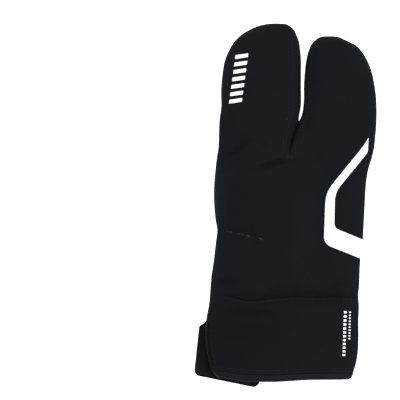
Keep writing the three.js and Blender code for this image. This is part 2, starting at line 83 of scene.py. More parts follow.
TAB_LENGTH, TAB_WIDTH, TAB_THICKNESS = 51.0, 45.0, 2.2
TAB_TURN = math.radians(-9)
PATCH_LENGTH, PATCH_WIDTH, PATCH_THICKNESS = 26.0, 30.0, 1.4
BINDING_WIDTH = 2.6
STRIPE_THICKNESS = 0.6

WRIST_Y = CUFF_LENGTH
CROTCH_Y = WRIST_Y + HAND_LENGTH
POINT_Y = CROTCH_Y - GUSSET_POINT
THUMB_MIDDLE = (-0.19 * HAND_WIDTH, WRIST_Y + 0.47 * HAND_LENGTH)
TAB_CORNER = (-0.6 * CUFF_WIDTH, 0.09 * CUFF_LENGTH)
print("from hem to middle fingertip", CROTCH_Y + INDEX_LENGTH, "mm")

# %% Sections along the mitten
# along, left, right, full
CUFF_SECTIONS = np.array([
    (0.0, -0.442, 0.406, 0.8),
    (0.027, -0.465, 0.426, 0.88),
    (0.1, -0.486, 0.439, 0.94),
    (0.2, -0.498, 0.454, 0.98),
    (0.36, -0.517, 0.467, 1.0),
    (0.56, -0.528, 0.471, 1.0),
    (0.76, -0.52, 0.471, 1.0),
    (0.9, -0.504, 0.474, 0.98),
    (0.97, -0.5, 0.471, 0.88),
])
# along, left, right, full, parted
HAND_SECTIONS = np.array([
    (0.02, -0.506, 0.477, 0.74, 0.0),
    (0.07, -0.503, 0.483, 0.86, 0.0),
    (0.15, -0.498, 0.486, 0.93, 0.0),
    (0.27, -0.482, 0.491, 0.98, 0.0),
    (0.4, -0.468, 0.508, 1.0, 0.03),
    (0.475, -0.459, 0.512, 1.0, 0.07),
    (0.56, -0.471, 0.516, 1.0, 0.14),
    (0.68, -0.48, 0.522, 0.99, 0.28),
    (0.8, -0.479, 0.529, 0.97, 0.45),
    (0.9, -0.471, 0.543, 0.95, 0.62),
    (1.0, -0.46, 0.571, 0.92, 0.8),
])
# along, width, shy, apart, full, parted
INDEX_SECTIONS = np.array([
    (0.05, 0.899, 0.0, 0.3, 1.0, 0.88),
    (0.16, 0.939, 0.0, 0.34, 1.0, 0.97),
    (0.26, 0.989, 0.0, 0.5, 1.0, 1.0),
    (0.38, 1.004, 0.0, 0.95, 1.0, 1.0),
    (0.5, 1.008, 0.0, 1.0, 1.0, 1.0),
    (0.615, 0.992, 0.0, 1.0, 1.0, 1.0),
    (0.73, 0.957, 0.0, 1.0, 0.99, 1.0),
    (0.805, 0.893, 0.01, 1.0, 0.96, 1.0),
    (0.866, 0.816, 0.025, 1.0, 0.91, 1.0),
    (0.919, 0.69, 0.057, 1.0, 0.83, 1.0),
    (0.957, 0.554, 0.089, 1.0, 0.71, 1.0),
    (0.983, 0.401, 0.139, 1.0, 0.54, 1.0),
    (1.0, 0.206, 0.205, 1.0, 0.3, 1.0),
])
RING_SECTIONS = np.array([
    (0.055, 1.165, 0.0, 0.3, 1.0, 0.88),
    (0.176, 1.133, 0.0, 0.34, 1.0, 0.97),
    (0.285, 1.076, 0.0, 0.5, 1.0, 1.0),
    (0.37, 1.036, 0.0, 0.5, 1.0, 1.0),
    (0.47, 1.012, 0.0, 0.5, 1.0, 1.0),
    (0.596, 0.985, 0.0, 0.55, 0.99, 1.0),
    (0.722, 0.922, 0.015, 0.55, 0.97, 1.0),
    (0.806, 0.847, 0.032, 0.55, 0.93, 1.0),
    (0.873, 0.751, 0.06, 0.55, 0.87, 1.0),
    (0.924, 0.638, 0.093, 0.55, 0.79, 1.0),
    (0.961, 0.477, 0.139, 0.55, 0.66, 1.0),
    (1.0, 0.213, 0.245, 0.55, 0.32, 1.0),
])
# along, width, middle, upper, lower
THUMB_SECTIONS = np.array([
    (0.0, 0.5, 0.7, 0.1, 0.12),
    (0.04, 0.75, 0.73, 0.2, 0.48),
    (0.12, 0.94, 0.74, 0.24, 0.72),
    (0.25, 1.0, 0.7, 0.3, 0.78),
    (0.4, 0.99, 0.64, 0.36, 0.75),
    (0.55, 0.95, 0.56, 0.44, 0.64),
    (0.7, 0.88, 0.52, 0.46, 0.58),
    (0.83, 0.77, 0.5, 0.42, 0.54),
    (0.92, 0.61, 0.5, 0.34, 0.46),
    (0.98, 0.38, 0.5, 0.2, 0.28),
    (1.0, 0.22, 0.5, 0.1, 0.12),
])
# How much of the gusset's full width shows, along a pocket. It runs out to nothing below the fingertip.
GUSSET_SEAMS = np.array([
    (0.0, 0.27),
    (0.1, 0.58),
    (0.2, 0.9),
    (0.3, 0.9),
    (0.4, 1.0),
    (0.8, 1.0),
    (0.88, 0.9),
    (0.93, 0.6),
    (0.965, 0.0),
])
print("stations of the index side", len(CUFF_SECTIONS) + len(HAND_SECTIONS) + len(INDEX_SECTIONS))

# %% [markdown]
# ## The outline
# Each half of the mitten, the index side and the ring side, is a list of stations from the hem to its
# fingertip. A smooth curve goes through all of them. It is measured along the outline and not along y,
# because at a fingertip the outline runs straight across.

# %% A smooth curve through the stations
def ease(value):
    share = np.clip(value, 0.0, 1.0)
    return share * share * (3 - 2 * share)


def mix(start, end, share):
    return start + (end - start) * share


def turned(x, y, angle):
    return x * math.cos(angle) - y * math.sin(angle), x * math.sin(angle) + y * math.cos(angle)


def run_along(a, b):
    """How far each point of a line lies from its start, measured along the line."""
    return np.concatenate([[0.0], np.cumsum(np.hypot(np.diff(a), np.diff(b)))])


def smooth_through(places, values, samples):
    """A curve through values at the given places, with each slope taken from the two neighbours."""
    slopes = np.gradient(values, places, axis=0)
    index = np.clip(np.searchsorted(places, samples) - 1, 0, len(places) - 2)
    width = (places[index + 1] - places[index])[:, None]
    t = ((samples - places[index]) / (places[index + 1] - places[index]))[:, None]
    rising = t * t * (3 - 2 * t)
    start_bend = t * (1 - t) ** 2 * slopes[index] * width
    end_bend = t * t * (t - 1) * slopes[index + 1] * width
    return mix(values[index], values[index + 1], rising) + start_bend + end_bend


# %% Stations of one half
INDEX, RING = -1, 1
TIP_CLOSING, TIP_RISE = 0.35, 0.5
FINE = 4000
POCKETS = {
    INDEX: (INDEX_SECTIONS, INDEX_LENGTH, INDEX_WIDTH),
    RING: (RING_SECTIONS, RING_LENGTH, RING_WIDTH),
}


def slit_at(y):
    return CROTCH_X + SLIT_LEAN * ease((y - CROTCH_Y) / SLIT_LEAN_LENGTH)


def middle_at(y):
    return mix(HEM_X, CROTCH_X, ease(y / CROTCH_Y))


def half_rows(side):
    """y, outer edge, inner edge, rise and how far the pockets have parted, from the hem to the tip."""
    edge = 1 if side == INDEX else 2
    rows = []
    for row in CUFF_SECTIONS:
        y = row[0] * CUFF_LENGTH
        rows.append((y, row[edge] * CUFF_WIDTH, middle_at(y), row[3] * CUFF_RISE, 0.0))
    for row in HAND_SECTIONS:
        y = WRIST_Y + row[0] * HAND_LENGTH
        rows.append((y, row[edge] * HAND_WIDTH, middle_at(y), row[3] * HAND_RISE, row[4]))
    table, length, width = POCKETS[side]
    for along, share, shy, apart, full, parted in table:
        y = CROTCH_Y + along * length
        inner = slit_at(y) + side * (0.5 * apart * SLIT_WIDTH + shy * width)
        rows.append((y, inner + side * share * width, inner, full * POCKET_RISE, parted))
    y, outer, inner, rise, parted = rows[-1]
    tip = mix(outer, inner, 0.5)
    rows.append((y + TIP_CLOSING, tip, tip, TIP_RISE * rise, parted))
    return np.array(rows)


def fine_rows(side):
    rows = half_rows(side)
    places = run_along(rows[:, 0], rows[:, 1])
    fine = smooth_through(places, rows, np.linspace(0, places[-1], FINE))
    fine[:, 0] = np.maximum.accumulate(fine[:, 0])
    return fine


OUTLINE = {side: fine_rows(side) for side in (INDEX, RING)}
print("tips at y", [round(float(rows[-1, 0]), 1) for rows in OUTLINE.values()])

# %% [markdown]
# ## The height of the cloth
# Across the mitten the padded back is a low arch, and over the pockets it is two arches. The side seams lie
# about 10 mm up, and higher over the thumb that is folded under. Folds are soft valleys that are taken off
# the arch: each has a place, a direction, a length, a width and a depth.

# %% Folds of the back
# name, across, along, turn, length, width, depth. The turn is in degrees. The depth is a share of the
# hand's rise, and it is negative for a ridge. The first seven folds are also in the solids.
FOLDS = [
    ("wrist pinch", 0.0, 0.0, 0, 1.2, 0.035, 0.115),
    ("thumb crease", -0.33, 0.455, -12, 0.34, 0.04, 0.1),
    ("crotch crease", -0.1, 0.94, 24, 0.3, 0.045, 0.105),
    ("knuckle arch", -0.28, 1.08, 12, 0.3, 0.05, -0.055),
    ("wrist hollow", -0.38, 0.1, 4, 0.24, 0.05, 0.105),
    ("cuff hollow", -0.26, -0.1, 0, 0.36, 0.05, 0.095),
    ("hand slope", 0.15, 0.62, 60, 0.5, 0.09, 0.07),
    ("thumb crease edge", -0.37, 0.475, -14, 0.22, 0.012, 0.05),
    ("crease with pale marks", -0.2, 0.44, -16, 0.16, 0.009, 0.032),
    ("crotch fold", -0.105, 0.942, 18, 0.46, 0.014, 0.22),
    ("lip of the crotch fold", -0.1, 0.905, 18, 0.4, 0.03, -0.05),
    ("arched fold left", -0.325, 1.05, 38, 0.32, 0.018, 0.13),
    ("arched fold right", -0.159, 1.085, -35, 0.24, 0.018, 0.11),
    ("dent under the wrist seam", -0.265, -0.1, 0, 0.5, 0.036, 0.24),
    ("dent over the wrist seam", -0.38, 0.11, 8, 0.28, 0.035, 0.13),
    ("dent over the wrist seam right", 0.33, 0.085, 22, 0.24, 0.026, 0.09),
    ("fine crotch fold", 0.1, 0.93, -38, 0.18, 0.012, 0.036),
    ("ring slack", 0.35, 0.95, -52, 0.3, 0.02, 0.032),
    ("cuff slack", 0.2, -0.36, 38, 0.46, 0.024, 0.07),
    ("cuff slack low", 0.22, -0.42, 52, 0.3, 0.02, 0.036),
    ("wrist slack", 0.18, 0.06, 42, 0.3, 0.02, 0.04),
    ("wrist slack left", -0.12, 0.07, -30, 0.2, 0.018, 0.036),
]
print(len(FOLDS), "folds, the deepest", max(fold[-1] for fold in FOLDS) * HAND_RISE, "mm")


def fold_depth(x, y):
    depth = np.zeros_like(x)
    for _, across, along, turn, length, width, deep in FOLDS:
        dx = x - across * HAND_WIDTH
        dy = y - (WRIST_Y + along * HAND_LENGTH)
        angle = math.radians(turn)
        over = (dy * math.cos(angle) - dx * math.sin(angle)) / (width * HAND_WIDTH)
        run = 2 * (dx * math.cos(angle) + dy * math.sin(angle)) / (length * HAND_WIDTH)
        depth += deep * HAND_RISE * np.exp(-over * over) * (1 - ease(np.abs(run)))
    return depth


# %% Height of the side seams and of what the palm lies on
ARCH_FULLNESS = 2.3


def arch(place):
    return np.maximum(0, 1 - np.abs(place) ** ARCH_FULLNESS) ** (1 / ARCH_FULLNESS)


def on_thumb(x, y):
    return turned(x - THUMB_MIDDLE[0], y - THUMB_MIDDLE[1], THUMB_TURN)


def on_tab(x, y):
    return turned(x - TAB_CORNER[0], y - TAB_CORNER[1], -TAB_TURN)


SEAM_LIFT, LIFT_WHOLE, LIFT_FADE = 0.86, 0.8, 0.95


def seam_level(x, y):
    """Height of the side seams, which is greater over the thumb."""
    across, along = on_thumb(x, y)
    reach = np.hypot(across / (0.5 * THUMB_WIDTH + THUMB_ROOM), along / (0.5 * THUMB_LENGTH + THUMB_ROOM))
    return SEAM_HEIGHT + SEAM_LIFT * THUMB_THICKNESS * (1 - ease((reach - LIFT_WHOLE) / LIFT_FADE))


TAB_ROOM_WHOLE, TAB_ROOM_FADE = 0.62, 0.24
THUMB_SIDE_FADE, THUMB_END_FADE = 0.12, 0.06


def underlay(x, y):
    """Height of what the palm lies on: the thumb, and the tab with its patch."""
    across, along = on_thumb(x, y)
    share = along / (THUMB_LENGTH + 2 * THUMB_ROOM) + 0.5
    table = THUMB_SECTIONS.T
    half = 0.5 * THUMB_WIDTH * np.interp(share, table[0], table[1]) + THUMB_ROOM
    side = np.abs(across) / half
    top = np.interp(share, table[0], table[2]) + np.interp(share, table[0], table[3]) * arch(side)
    between_ends = ease(share / THUMB_END_FADE) * ease((1 - share) / THUMB_END_FADE)
    inside = ease((1 - side) / THUMB_SIDE_FADE) * between_ends
    height = (top * THUMB_THICKNESS + PALM_CLEARANCE) * inside
    tab_x, tab_y = on_tab(x, y)
    reach = np.maximum(np.abs(tab_x / TAB_LENGTH - 0.5), np.abs(tab_y / TAB_WIDTH - 0.5))
    stack = TAB_THICKNESS + PATCH_THICKNESS + SEAM_GAP + PALM_CLEARANCE
    return np.maximum(height, stack * (1 - ease((reach - TAB_ROOM_WHOLE) / TAB_ROOM_FADE)))


# %% Small unevenness of padded cloth
NOISE_PLACE = Vector((3.7, 1.9, 0.0))


def unevenness(x, y, wave):
    """Soft noise from -1 to 1 with the given wave length."""
    flat = [noise.noise(Vector((a / wave, b / wave, 0)) + NOISE_PLACE) for a, b in zip(x.ravel(), y.ravel())]
    return np.array(flat).reshape(x.shape)


# %% Wander of the wrist seam and the hem
# Each rise, sag or lift in mm, with where it begins in x and over what run
SEAM_RISE, SEAM_SAG, SAG_X, SAG_WIDTH = 1.2, 2.5, -26.0, 13.0
SIDE_RISE, SIDE_RISE_FROM, SIDE_RISE_RUN = 1.7, -32.0, 18.0
SEAM_RIPPLE, SEAM_RIPPLE_RUN = 0.15, 4.5


def wrist_line(x):
    """How far the wrist seam wanders from its straight line. It sags where the cuff lies over the thumb."""
    sag = SEAM_SAG * np.exp(-(((x - SAG_X) / SAG_WIDTH) ** 2))
    side = SIDE_RISE * ease((SIDE_RISE_FROM - x) / SIDE_RISE_RUN)
    return SEAM_RISE - sag + side + SEAM_RIPPLE * np.sin(x / SEAM_RIPPLE_RUN)


HEM_LIFT, HEM_LIFT_FROM, HEM_LIFT_RUN = 1.6, -12.0, 34.0
SLIT_LIFT, SLIT_LIFT_FROM, SLIT_LIFT_RUN = 3.4, -27.0, 30.0
WRIST_SWAY_REACH, HEM_SWAY_REACH = 25.0, 30.0


def swayed(x, y):
    """y moved with the wander of the wrist seam and of the hem, which rises to both of its ends."""
    wrist = wrist_line(x) * (1 - ease(np.abs(y - WRIST_Y) / WRIST_SWAY_REACH))
    right = HEM_LIFT * ease((x - HEM_LIFT_FROM) / HEM_LIFT_RUN)
    left = SLIT_LIFT * ease((SLIT_LIFT_FROM - x) / SLIT_LIFT_RUN)
    return y + wrist + (right + left) * (1 - ease(y / HEM_SWAY_REACH))


# %% [markdown]
# Near a seam the padding is pressed down by the thread. So the surface dips along the wrist seam, the hem
# and the gusset, and small puckers cross the seam every few millimetres, as on any sewn padded cloth.

# %% The gusset's seams
FOOT_BLEND = 12.0


def up_pocket(side, y):
    """Share of the way from the crotch to the fingertip."""
    return (y - CROTCH_Y) / POCKETS[side][1]


def gusset_edge(side, y):
    """x of the seam between a panel and the gusset."""
    band = GUSSET_BAND if side == INDEX else GUSSET_TUCK
    shown = np.interp(up_pocket(side, y), GUSSET_SEAMS[:, 0], GUSSET_SEAMS[:, 1])
    rows = OUTLINE[side]
    inner = np.interp(y, rows[:, 0], rows[:, 2])
    at_foot = slit_at(CROTCH_Y) + side * (0.5 * SLIT_WIDTH + GUSSET_SEAMS[0, 1] * band)
    above = np.where(shown > 0, inner + side * shown * band, inner)
    from_foot = np.clip((y - CROTCH_Y) / FOOT_BLEND, 0, 1)
    above = mix(at_foot + (inner - slit_at(CROTCH_Y)), above, from_foot)
    rising = np.clip((y - POINT_Y) / GUSSET_POINT, 0, 1)
    below = mix(CROTCH_X, at_foot, np.sqrt(rising * (2 - rising)))
    return np.where(y < CROTCH_Y, below, above)


def gusset_distance(side, x, y):
    """How far a place is from the gusset's seam, in millimetres."""
    beside = np.abs(x - gusset_edge(side, y))
    below = np.hypot(x - CROTCH_X, y - POINT_Y)
    return np.where(y < POINT_Y, below, beside)


# %% Dips and puckers along the seams
# Depth and reach of the dip, height and reach of the puckers, their wave, and how much and how slowly
# that wave sways
WRIST_PRESS = (0.4, 1.6, 0.22, 4.5, 1.05, 1.6, 0.31)
HEM_PRESS = (0.4, 1.2, 0.1, 3.5, 1.5, 2.0, 0.23)
GUSSET_PRESS = (0.22, 1.4, 0.12, 3.5, 1.1, 1.4, 0.27)


def seam_dip(side, x, y):
    """How deep the stitching presses the outside of the back."""
    seams = (
        (WRIST_PRESS, np.abs(y - WRIST_Y), x),
        (HEM_PRESS, np.abs(y - HEM_WIDTH), x),
        (GUSSET_PRESS, gusset_distance(side, x, y), y),
    )
    pressed = 0.0
    for (dip, dip_reach, pucker, pucker_reach, wave, sway, sway_wave), away, run in seams:
        puckers = pucker * np.sin(run * wave + sway * np.sin(sway_wave * run))
        pressed = pressed + dip * np.exp(-((away / dip_reach) ** 2))
        pressed = pressed + puckers * np.exp(-((away / pucker_reach) ** 2))
    return pressed


# %% Slack of the cloth, which the simulation fills in
SLACK_CELL = 2.0
SLACK_LEFT, SLACK_BOTTOM = -76.0, -4.0
SLACK_ROWS, SLACK_COLUMNS = 147, 77
slack_table = np.zeros((SLACK_ROWS, SLACK_COLUMNS))
print("slack table of", slack_table.size, "places")


def slack(x, y):
    """How far the simulated cloth lies above the smooth form, by its table of places 2 mm apart."""
    across = np.clip((x - SLACK_LEFT) / SLACK_CELL, 0, SLACK_COLUMNS - 1.001)
    along = np.clip((y - SLACK_BOTTOM) / SLACK_CELL, 0, SLACK_ROWS - 1.001)
    column, row = across.astype(int), along.astype(int)
    u, v = ease(across - column), ease(along - row)
    low = mix(slack_table[row, column], slack_table[row, column + 1], u)
    high = mix(slack_table[row + 1, column], slack_table[row + 1, column + 1], u)
    return mix(low, high, v)


# %% One point of the shell
TINY = 1e-6
# How far above the crotch the inner edge is fully inset, and how far above the gusset's point the valley
# is fully open
SEAM_FADE, PARTING_RUN = 6.0, 14.0
# The sewn edge is thinner inside. Towards a fingertip it gets thin and the inside draws in, from a share
# of the pocket's length on.
INSIDE_EDGE = 0.5
TIP_EDGE_FROM, TIP_EDGE_RUN = 0.8, 0.2
TIP_INSET_FROM, TIP_INSET_RUN = 0.7, 0.3
# The largest share of half the width that the wall takes up, and how soon inside an edge a fold is at
# its full depth
INSET_LIMIT, FOLD_FULLNESS = 0.9, 3
# Amount and wave length of the unevenness
UNEVEN_WAVES = ((0.22, 17.0), (0.08, 6.5))


def half_at(side, y):
    """Outer edge, inner edge, rise and parting at y."""
    rows = OUTLINE[side]
    return [np.interp(y, rows[:, 0], rows[:, column]) for column in range(1, 5)]


def shell_height(side, x, y, is_top, inset, inner_share=None):
    """Height of the outside, with inset 0, or of the hollow inside, with the wall as inset."""
    outer, inner, rise, parted = half_at(side, y)
    along = np.clip(up_pocket(side, y), 0, 1)
    width = np.where(np.abs(inner - outer) < TINY, TINY, inner - outer)
    share = np.clip((x - outer) / width, 0, 1) if inner_share is None else inner_share
    end = mix(GUSSET_HEIGHT, EDGE_HEIGHT, ease((along - TIP_EDGE_FROM) / TIP_EDGE_RUN))
    edge = np.minimum(mix(EDGE_HEIGHT, end, share ** 4), rise) * (INSIDE_EDGE if inset else 1.0)
    joined = 1 - ease((y - POINT_Y) / PARTING_RUN)
    two_arches = arch(2 * share - 1)
    valley = np.where(share > 0.5, mix(two_arches, 1 - ease(2 * share - 1), joined), two_arches)
    form = mix(arch(share - 1), valley, parted)
    lift = edge + np.maximum(rise - inset - edge, 0) * form
    level = seam_level(x, y)
    if not is_top:
        return np.maximum(level - lift, underlay(x, y) + inset)
    height = level + lift + form * slack(x, y) - np.minimum(1, FOLD_FULLNESS * form) * fold_depth(x, y)
    if inset == 0:
        height = height - form * seam_dip(side, x, y)
        for amount, wave in UNEVEN_WAVES:
            height = height + amount * form * unevenness(x, y, wave)
    return height


def shell_points(side, share, y, is_top, inset):
    """Points at shares of the way from the outer edge to the inner edge, as an array of x, y and z."""
    outer, inner, _, _ = half_at(side, y)
    along = np.clip(up_pocket(side, y), 0, 1)
    toward = np.where(y > CROTCH_Y, side, 0) * ease((y - CROTCH_Y) / SEAM_FADE)
    half_width = 0.5 * np.abs(inner - outer)
    tuck = np.minimum(inset, half_width * INSET_LIMIT)
    x = mix(outer - side * tuck, inner + toward * tuck, share)
    drawn_in = y - inset * ease((along - TIP_INSET_FROM) / TIP_INSET_RUN)
    height = shell_height(side, x, y, is_top, inset, share)
    return np.stack([x, np.where(inset > 0, drawn_in, y), height], axis=-1)


# %% [markdown]
# ## From grids to sewn panels
# A panel is two sheets, its outside and its inside, with the same faces. Towards a cut edge the two sheets
# roll together into a round rim, as cloth does when it is turned over at a seam. A third helper gives a
# mesh its place in the frame: millimetres become metres and the hem moves to where the solids have it.

# %% Shift from the pattern to the frame
# The tab's outline: along and across in shares of its length and width, from its corner
TAB_OUTLINE = [
    (0.05, 0.0),
    (0.93, 0.0),
    (1.0, 0.06),
    (1.0, 0.9),
    (0.94, 0.98),
    (0.24, 1.14),
    (0.11, 1.095),
    (0.045, 0.9),
    (-0.033, 0.845),
    (0.0, 0.06),
]


def from_tab(along, across):
    x, y = turned(along * TAB_LENGTH, across * TAB_WIDTH, TAB_TURN)
    return TAB_CORNER[0] + x, TAB_CORNER[1] + y


tab_left = min(from_tab(*corner)[0] for corner in TAB_OUTLINE)
SHIFT = np.array([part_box("closing_tab")[0][0] - tab_left * MM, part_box("hem_back")[0][1], 0.0])
print("shift to the frame", SHIFT.round(5))


# %% Closed shell from two sheets
def welded(points, partner, faces):
    """Joins the vertices that lie on each other, and drops what that leaves of thin faces."""
    keys = {}
    numbers = []
    for place, mate in zip(np.round(points, 4), np.round(partner, 4)):
        key = (*place, *mate)
        numbers.append(keys.setdefault(key, len(keys)))
    numbers = np.array(numbers)
    first = np.zeros(len(keys), dtype=int)
    first[numbers[::-1]] = np.arange(len(numbers))[::-1]
    kept = []
    for face in faces:
        ring = [int(numbers[i]) for i in face]
        ring = [v for i, v in enumerate(ring) if v != ring[i - 1]]
        if len(set(ring)) == len(ring) > 2:
            kept.append(ring)
    return points[first], partner[first], kept


def mesh_object(name, points, faces):
    mesh = bpy.data.meshes.new(name)
    mesh.from_pydata((np.asarray(points) * MM + SHIFT).tolist(), [], faces)
    mesh.validate()
    for polygon in mesh.polygons:
        polygon.use_smooth = True
    made = bpy.data.objects.new(name, mesh)
    bpy.context.scene.collection.objects.link(made)
    return made


def sewn_panel(name, outside, inside, faces):
    """A closed wall between two sheets, with faces seen from the outside counterclockwise."""
    outside, inside, faces = welded(outside, inside, faces)
    count = len(outside)
    edges = set()
    for face in faces:
        for i, end in enumerate(face):
            edges.add((face[i - 1], end))
    rim = [(a, a + count, b + count, b) for a, b in edges if (b, a) not in edges]
    back = [[v + count for v in reversed(face)] for face in faces]
    made = mesh_object(name, np.concatenate([outside, inside]), faces + back + rim)
    print(name, len(made.data.polygons), "faces")
    return made


def grid_faces(rows, columns, start=0, flip=False):
    faces = []
    for i in range(rows - 1):
        for j in range(columns - 1):
            a = start + i * columns + j
            face = [a, a + 1, a + columns + 1, a + columns]
            faces.append(face[::-1] if flip else face)
    return faces


def stacked(grids):
    """Outside points, inside points and faces of several grids, each given as outside, inside and flip."""
    outsides, insides, faces = [], [], []
    start = 0
    for outside, inside, flip in grids:
        rows, columns = outside.shape[:2]
        faces += grid_faces(rows, columns, start, flip)
        start += rows * columns
        outsides.append(outside.reshape(-1, 3))
        insides.append(inside.reshape(-1, 3))
    return np.concatenate(outsides), np.concatenate(insides), faces


# %% Rolled rim
ROLL = 1.0
ROLL_SHARE = 0.26
RIM_PLACES = np.array([0.0, 0.12, 0.35, 0.7, 1.15])
RIM_CLEARANCE = 0.3


def rolled(outside, inside, distance):
    """Draws the heights of both sheets together towards a cut edge, by each point's distance from it."""
    inward = np.clip(1 - distance / ROLL, 0, 1)
    share = ROLL_SHARE * (1 - np.sqrt(1 - inward * inward))
    upper, lower = outside.copy(), inside.copy()
    upper[..., 2] = mix(outside[..., 2], inside[..., 2], share)
    lower[..., 2] = mix(inside[..., 2], outside[..., 2], share)
    return upper, lower


def stations(start, stop, step):
    """Places from start to stop, closer together where the rim rolls over."""
    count = max(2, int((stop - start) / step))
    between = np.linspace(start, stop, count + 1)
    first, last = start + RIM_PLACES[-1] + RIM_CLEARANCE, stop - RIM_PLACES[-1] - RIM_CLEARANCE
    keep = between[(between > first) & (between < last)]
    return np.unique(np.round(np.concatenate([start + RIM_PLACES, stop - RIM_PLACES, keep]), 6))


# %% [markdown]
# ## Slack from a cloth simulation
# The smooth form is what the pattern gives. Real padded softshell is cut a little larger than its lining,
# so it ripples softly between the seams. A coarse sheet of the whole back is held at its seams and relaxed
# as cloth that is a few percent too large, under a light push from the padding. How far each point moved,
# with a limit, becomes the table of slack, so that the panels and all that lies on them follow it.

# %% The sheet that is simulated
COARSE_STEP = 3.2
COARSE_COLUMNS = 14
SEAM_REACH, GUSSET_REACH = 0.1, 1.2
HELD = "held at the seams"


def coarse_sheet():
    """Points, faces and held points of the whole back as one sheet that is parted at the slit."""
    points, faces, held = [], [], []
    for side in (INDEX, RING):
        rows = OUTLINE[side]
        run = run_along(rows[:, 0], rows[:, 1])
        y = np.interp(np.arange(0, run[-1] - 1, COARSE_STEP), run, rows[:, 0])
        y = np.unique(np.round(np.append(y, [WRIST_Y, HEM_WIDTH, CROTCH_Y]), 3))[:, None]
        share = np.linspace(0, 1, COARSE_COLUMNS + 1)[None, :]
        y = np.broadcast_to(y, (len(y), share.shape[1]))
        sheet = shell_points(side, share, y, True, 0.0)
        to_seam = np.minimum(np.minimum(np.abs(y - WRIST_Y), np.abs(y - HEM_WIDTH)), y)
        fixed = (share == 0) | (to_seam < SEAM_REACH) | ((share == 1) & (y > POINT_Y))
        fixed = fixed | (gusset_distance(side, sheet[..., 0], y) < GUSSET_REACH)
        faces += grid_faces(*y.shape, start=len(points), flip=side == RING)
        points += sheet.reshape(-1, 3).tolist()
        held += fixed.ravel().tolist()
    return np.array(points), faces, np.array(held)


# %% Relax it and keep how far it moved
SIM_FRAMES = 20
SIM_SLACK = -0.035
SIM_PUSH = 0.6
SIM_LIMIT = 1.1
SIM_SMOOTH = 2.6


def relaxed_heights(points, faces, held):
    """How far each point of the sheet rises or sinks once the cloth has settled, in millimetres."""
    partner = np.zeros_like(points)
    joined, _, joined_faces = welded(points, partner, faces)
    sheet = mesh_object("slack_sheet", joined, joined_faces)
    group = sheet.vertex_groups.new(name=HELD)
    fixed_places = {tuple(place) for place in np.round(points[held], 4)}
    numbers = [i for i, place in enumerate(np.round(joined, 4)) if tuple(place) in fixed_places]
    group.add(numbers, 1.0, "REPLACE")
    modifier = sheet.modifiers.new("cloth", "CLOTH")
    cloth = modifier.settings
    cloth.quality = 6
    cloth.mass = 0.2
    cloth.tension_stiffness = 12
    cloth.compression_stiffness = 12
    cloth.bending_stiffness = 0.6
    cloth.vertex_group_mass = HELD
    cloth.shrink_min = SIM_SLACK
    cloth.use_pressure = True
    cloth.uniform_pressure_force = SIM_PUSH
    cloth.effector_weights.gravity = 0
    modifier.collision_settings.use_collision = False
    scene = bpy.context.scene
    for frame_number in range(1, SIM_FRAMES + 1):
        scene.frame_set(frame_number)
    settled = sheet.evaluated_get(bpy.context.evaluated_depsgraph_get()).data
    after = np.array([tuple(v.co) for v in settled.vertices])
    before = np.array([tuple(v.co) for v in sheet.data.vertices])
    moved = (after - before)[:, 2] / MM
    bpy.data.objects.remove(sheet)
    scene.frame_set(1)
    return joined, np.clip(moved - np.mean(moved), -SIM_LIMIT, SIM_LIMIT)


def fill_slack(places, heights):
    """Spreads the heights of scattered places over the table, each place with a soft round weight."""
    x = SLACK_LEFT + SLACK_CELL * np.arange(SLACK_COLUMNS)
    for row in range(SLACK_ROWS):
        y = SLACK_BOTTOM + SLACK_CELL * row
        near = np.abs(places[:, 1] - y) < 4 * SIM_SMOOTH
        if not near.any():
            continue
        away = (places[near, 0][None, :] - x[:, None]) ** 2 + (places[near, 1][None, :] - y) ** 2
        weight = np.exp(-away / (2 * SIM_SMOOTH ** 2))
        slack_table[row] = (weight @ heights[near]) / np.maximum(weight.sum(axis=1), 1e-3)


sim_places, sim_heights = relaxed_heights(*coarse_sheet())
fill_slack(sim_places, sim_heights)
print("slack from", slack_table.min().round(2), "to", slack_table.max().round(2), "mm")

# %% [markdown]
# ## Panels of the hand
# The back is one piece of softshell from the wrist to both fingertips. Its two halves are grids that share
# the middle line below the crotch and part along the gusset's seam above it. The palm is the same pattern
# seen from below. A sewing pattern has the same shape.

# %% Rows and seams of a hand panel
STEP = 1.15
COLUMNS = 56
FOOT_ROWS = POINT_Y + GUSSET_POINT * (1 - np.cos(0.5 * np.pi * np.linspace(0, 1, 9)))
TURN_IN = 0.3
column_shares = 0.5 - 0.5 * np.cos(np.pi * np.linspace(0, 1, COLUMNS + 1))


def pocket_stations(side):
    """y of the rows above the crotch, at even steps along the outline."""
    rows = OUTLINE[side]
    above = rows[rows[:, 0] >= CROTCH_Y]
    run = run_along(above[:, 0], above[:, 1])
    even = np.linspace(0, run[-1], int(run[-1] / STEP))
    y = np.maximum.accumulate(np.interp(even, run, above[:, 0]))
    y[0] = CROTCH_Y
    return y


def sewn_level(edge, is_top):
    """Height at which an edge of the back or of the palm is sewn, half a gap over or under the side seam."""
    return seam_level(edge[..., 0], edge[..., 1]) + (0.5 if is_top else -0.5) * SEWN_GAP


def turn_in(side, y):
    """How far the cloth turns in at a side seam, which is less where a fingertip is narrow."""
    outer, inner, _, _ = half_at(side, y)
    return side * np.minimum(TURN_IN, 0.25 * np.abs(inner - outer))


def tucked(points, side, is_top, y):
    """Adds the outer column where the cloth turns in to the side seam."""
    edge = points[:, :1].copy()
    edge[..., 2] = sewn_level(edge, is_top)
    edge[..., 0] -= turn_in(side, y[:, :1])
    return np.concatenate([edge, points], axis=1)


def above_gusset(side, y):
    """Whether a row lies above the end of the gusset, where the back meets the palm."""
    return up_pocket(side, y) >= GUSSET_SEAMS[-1, 0]


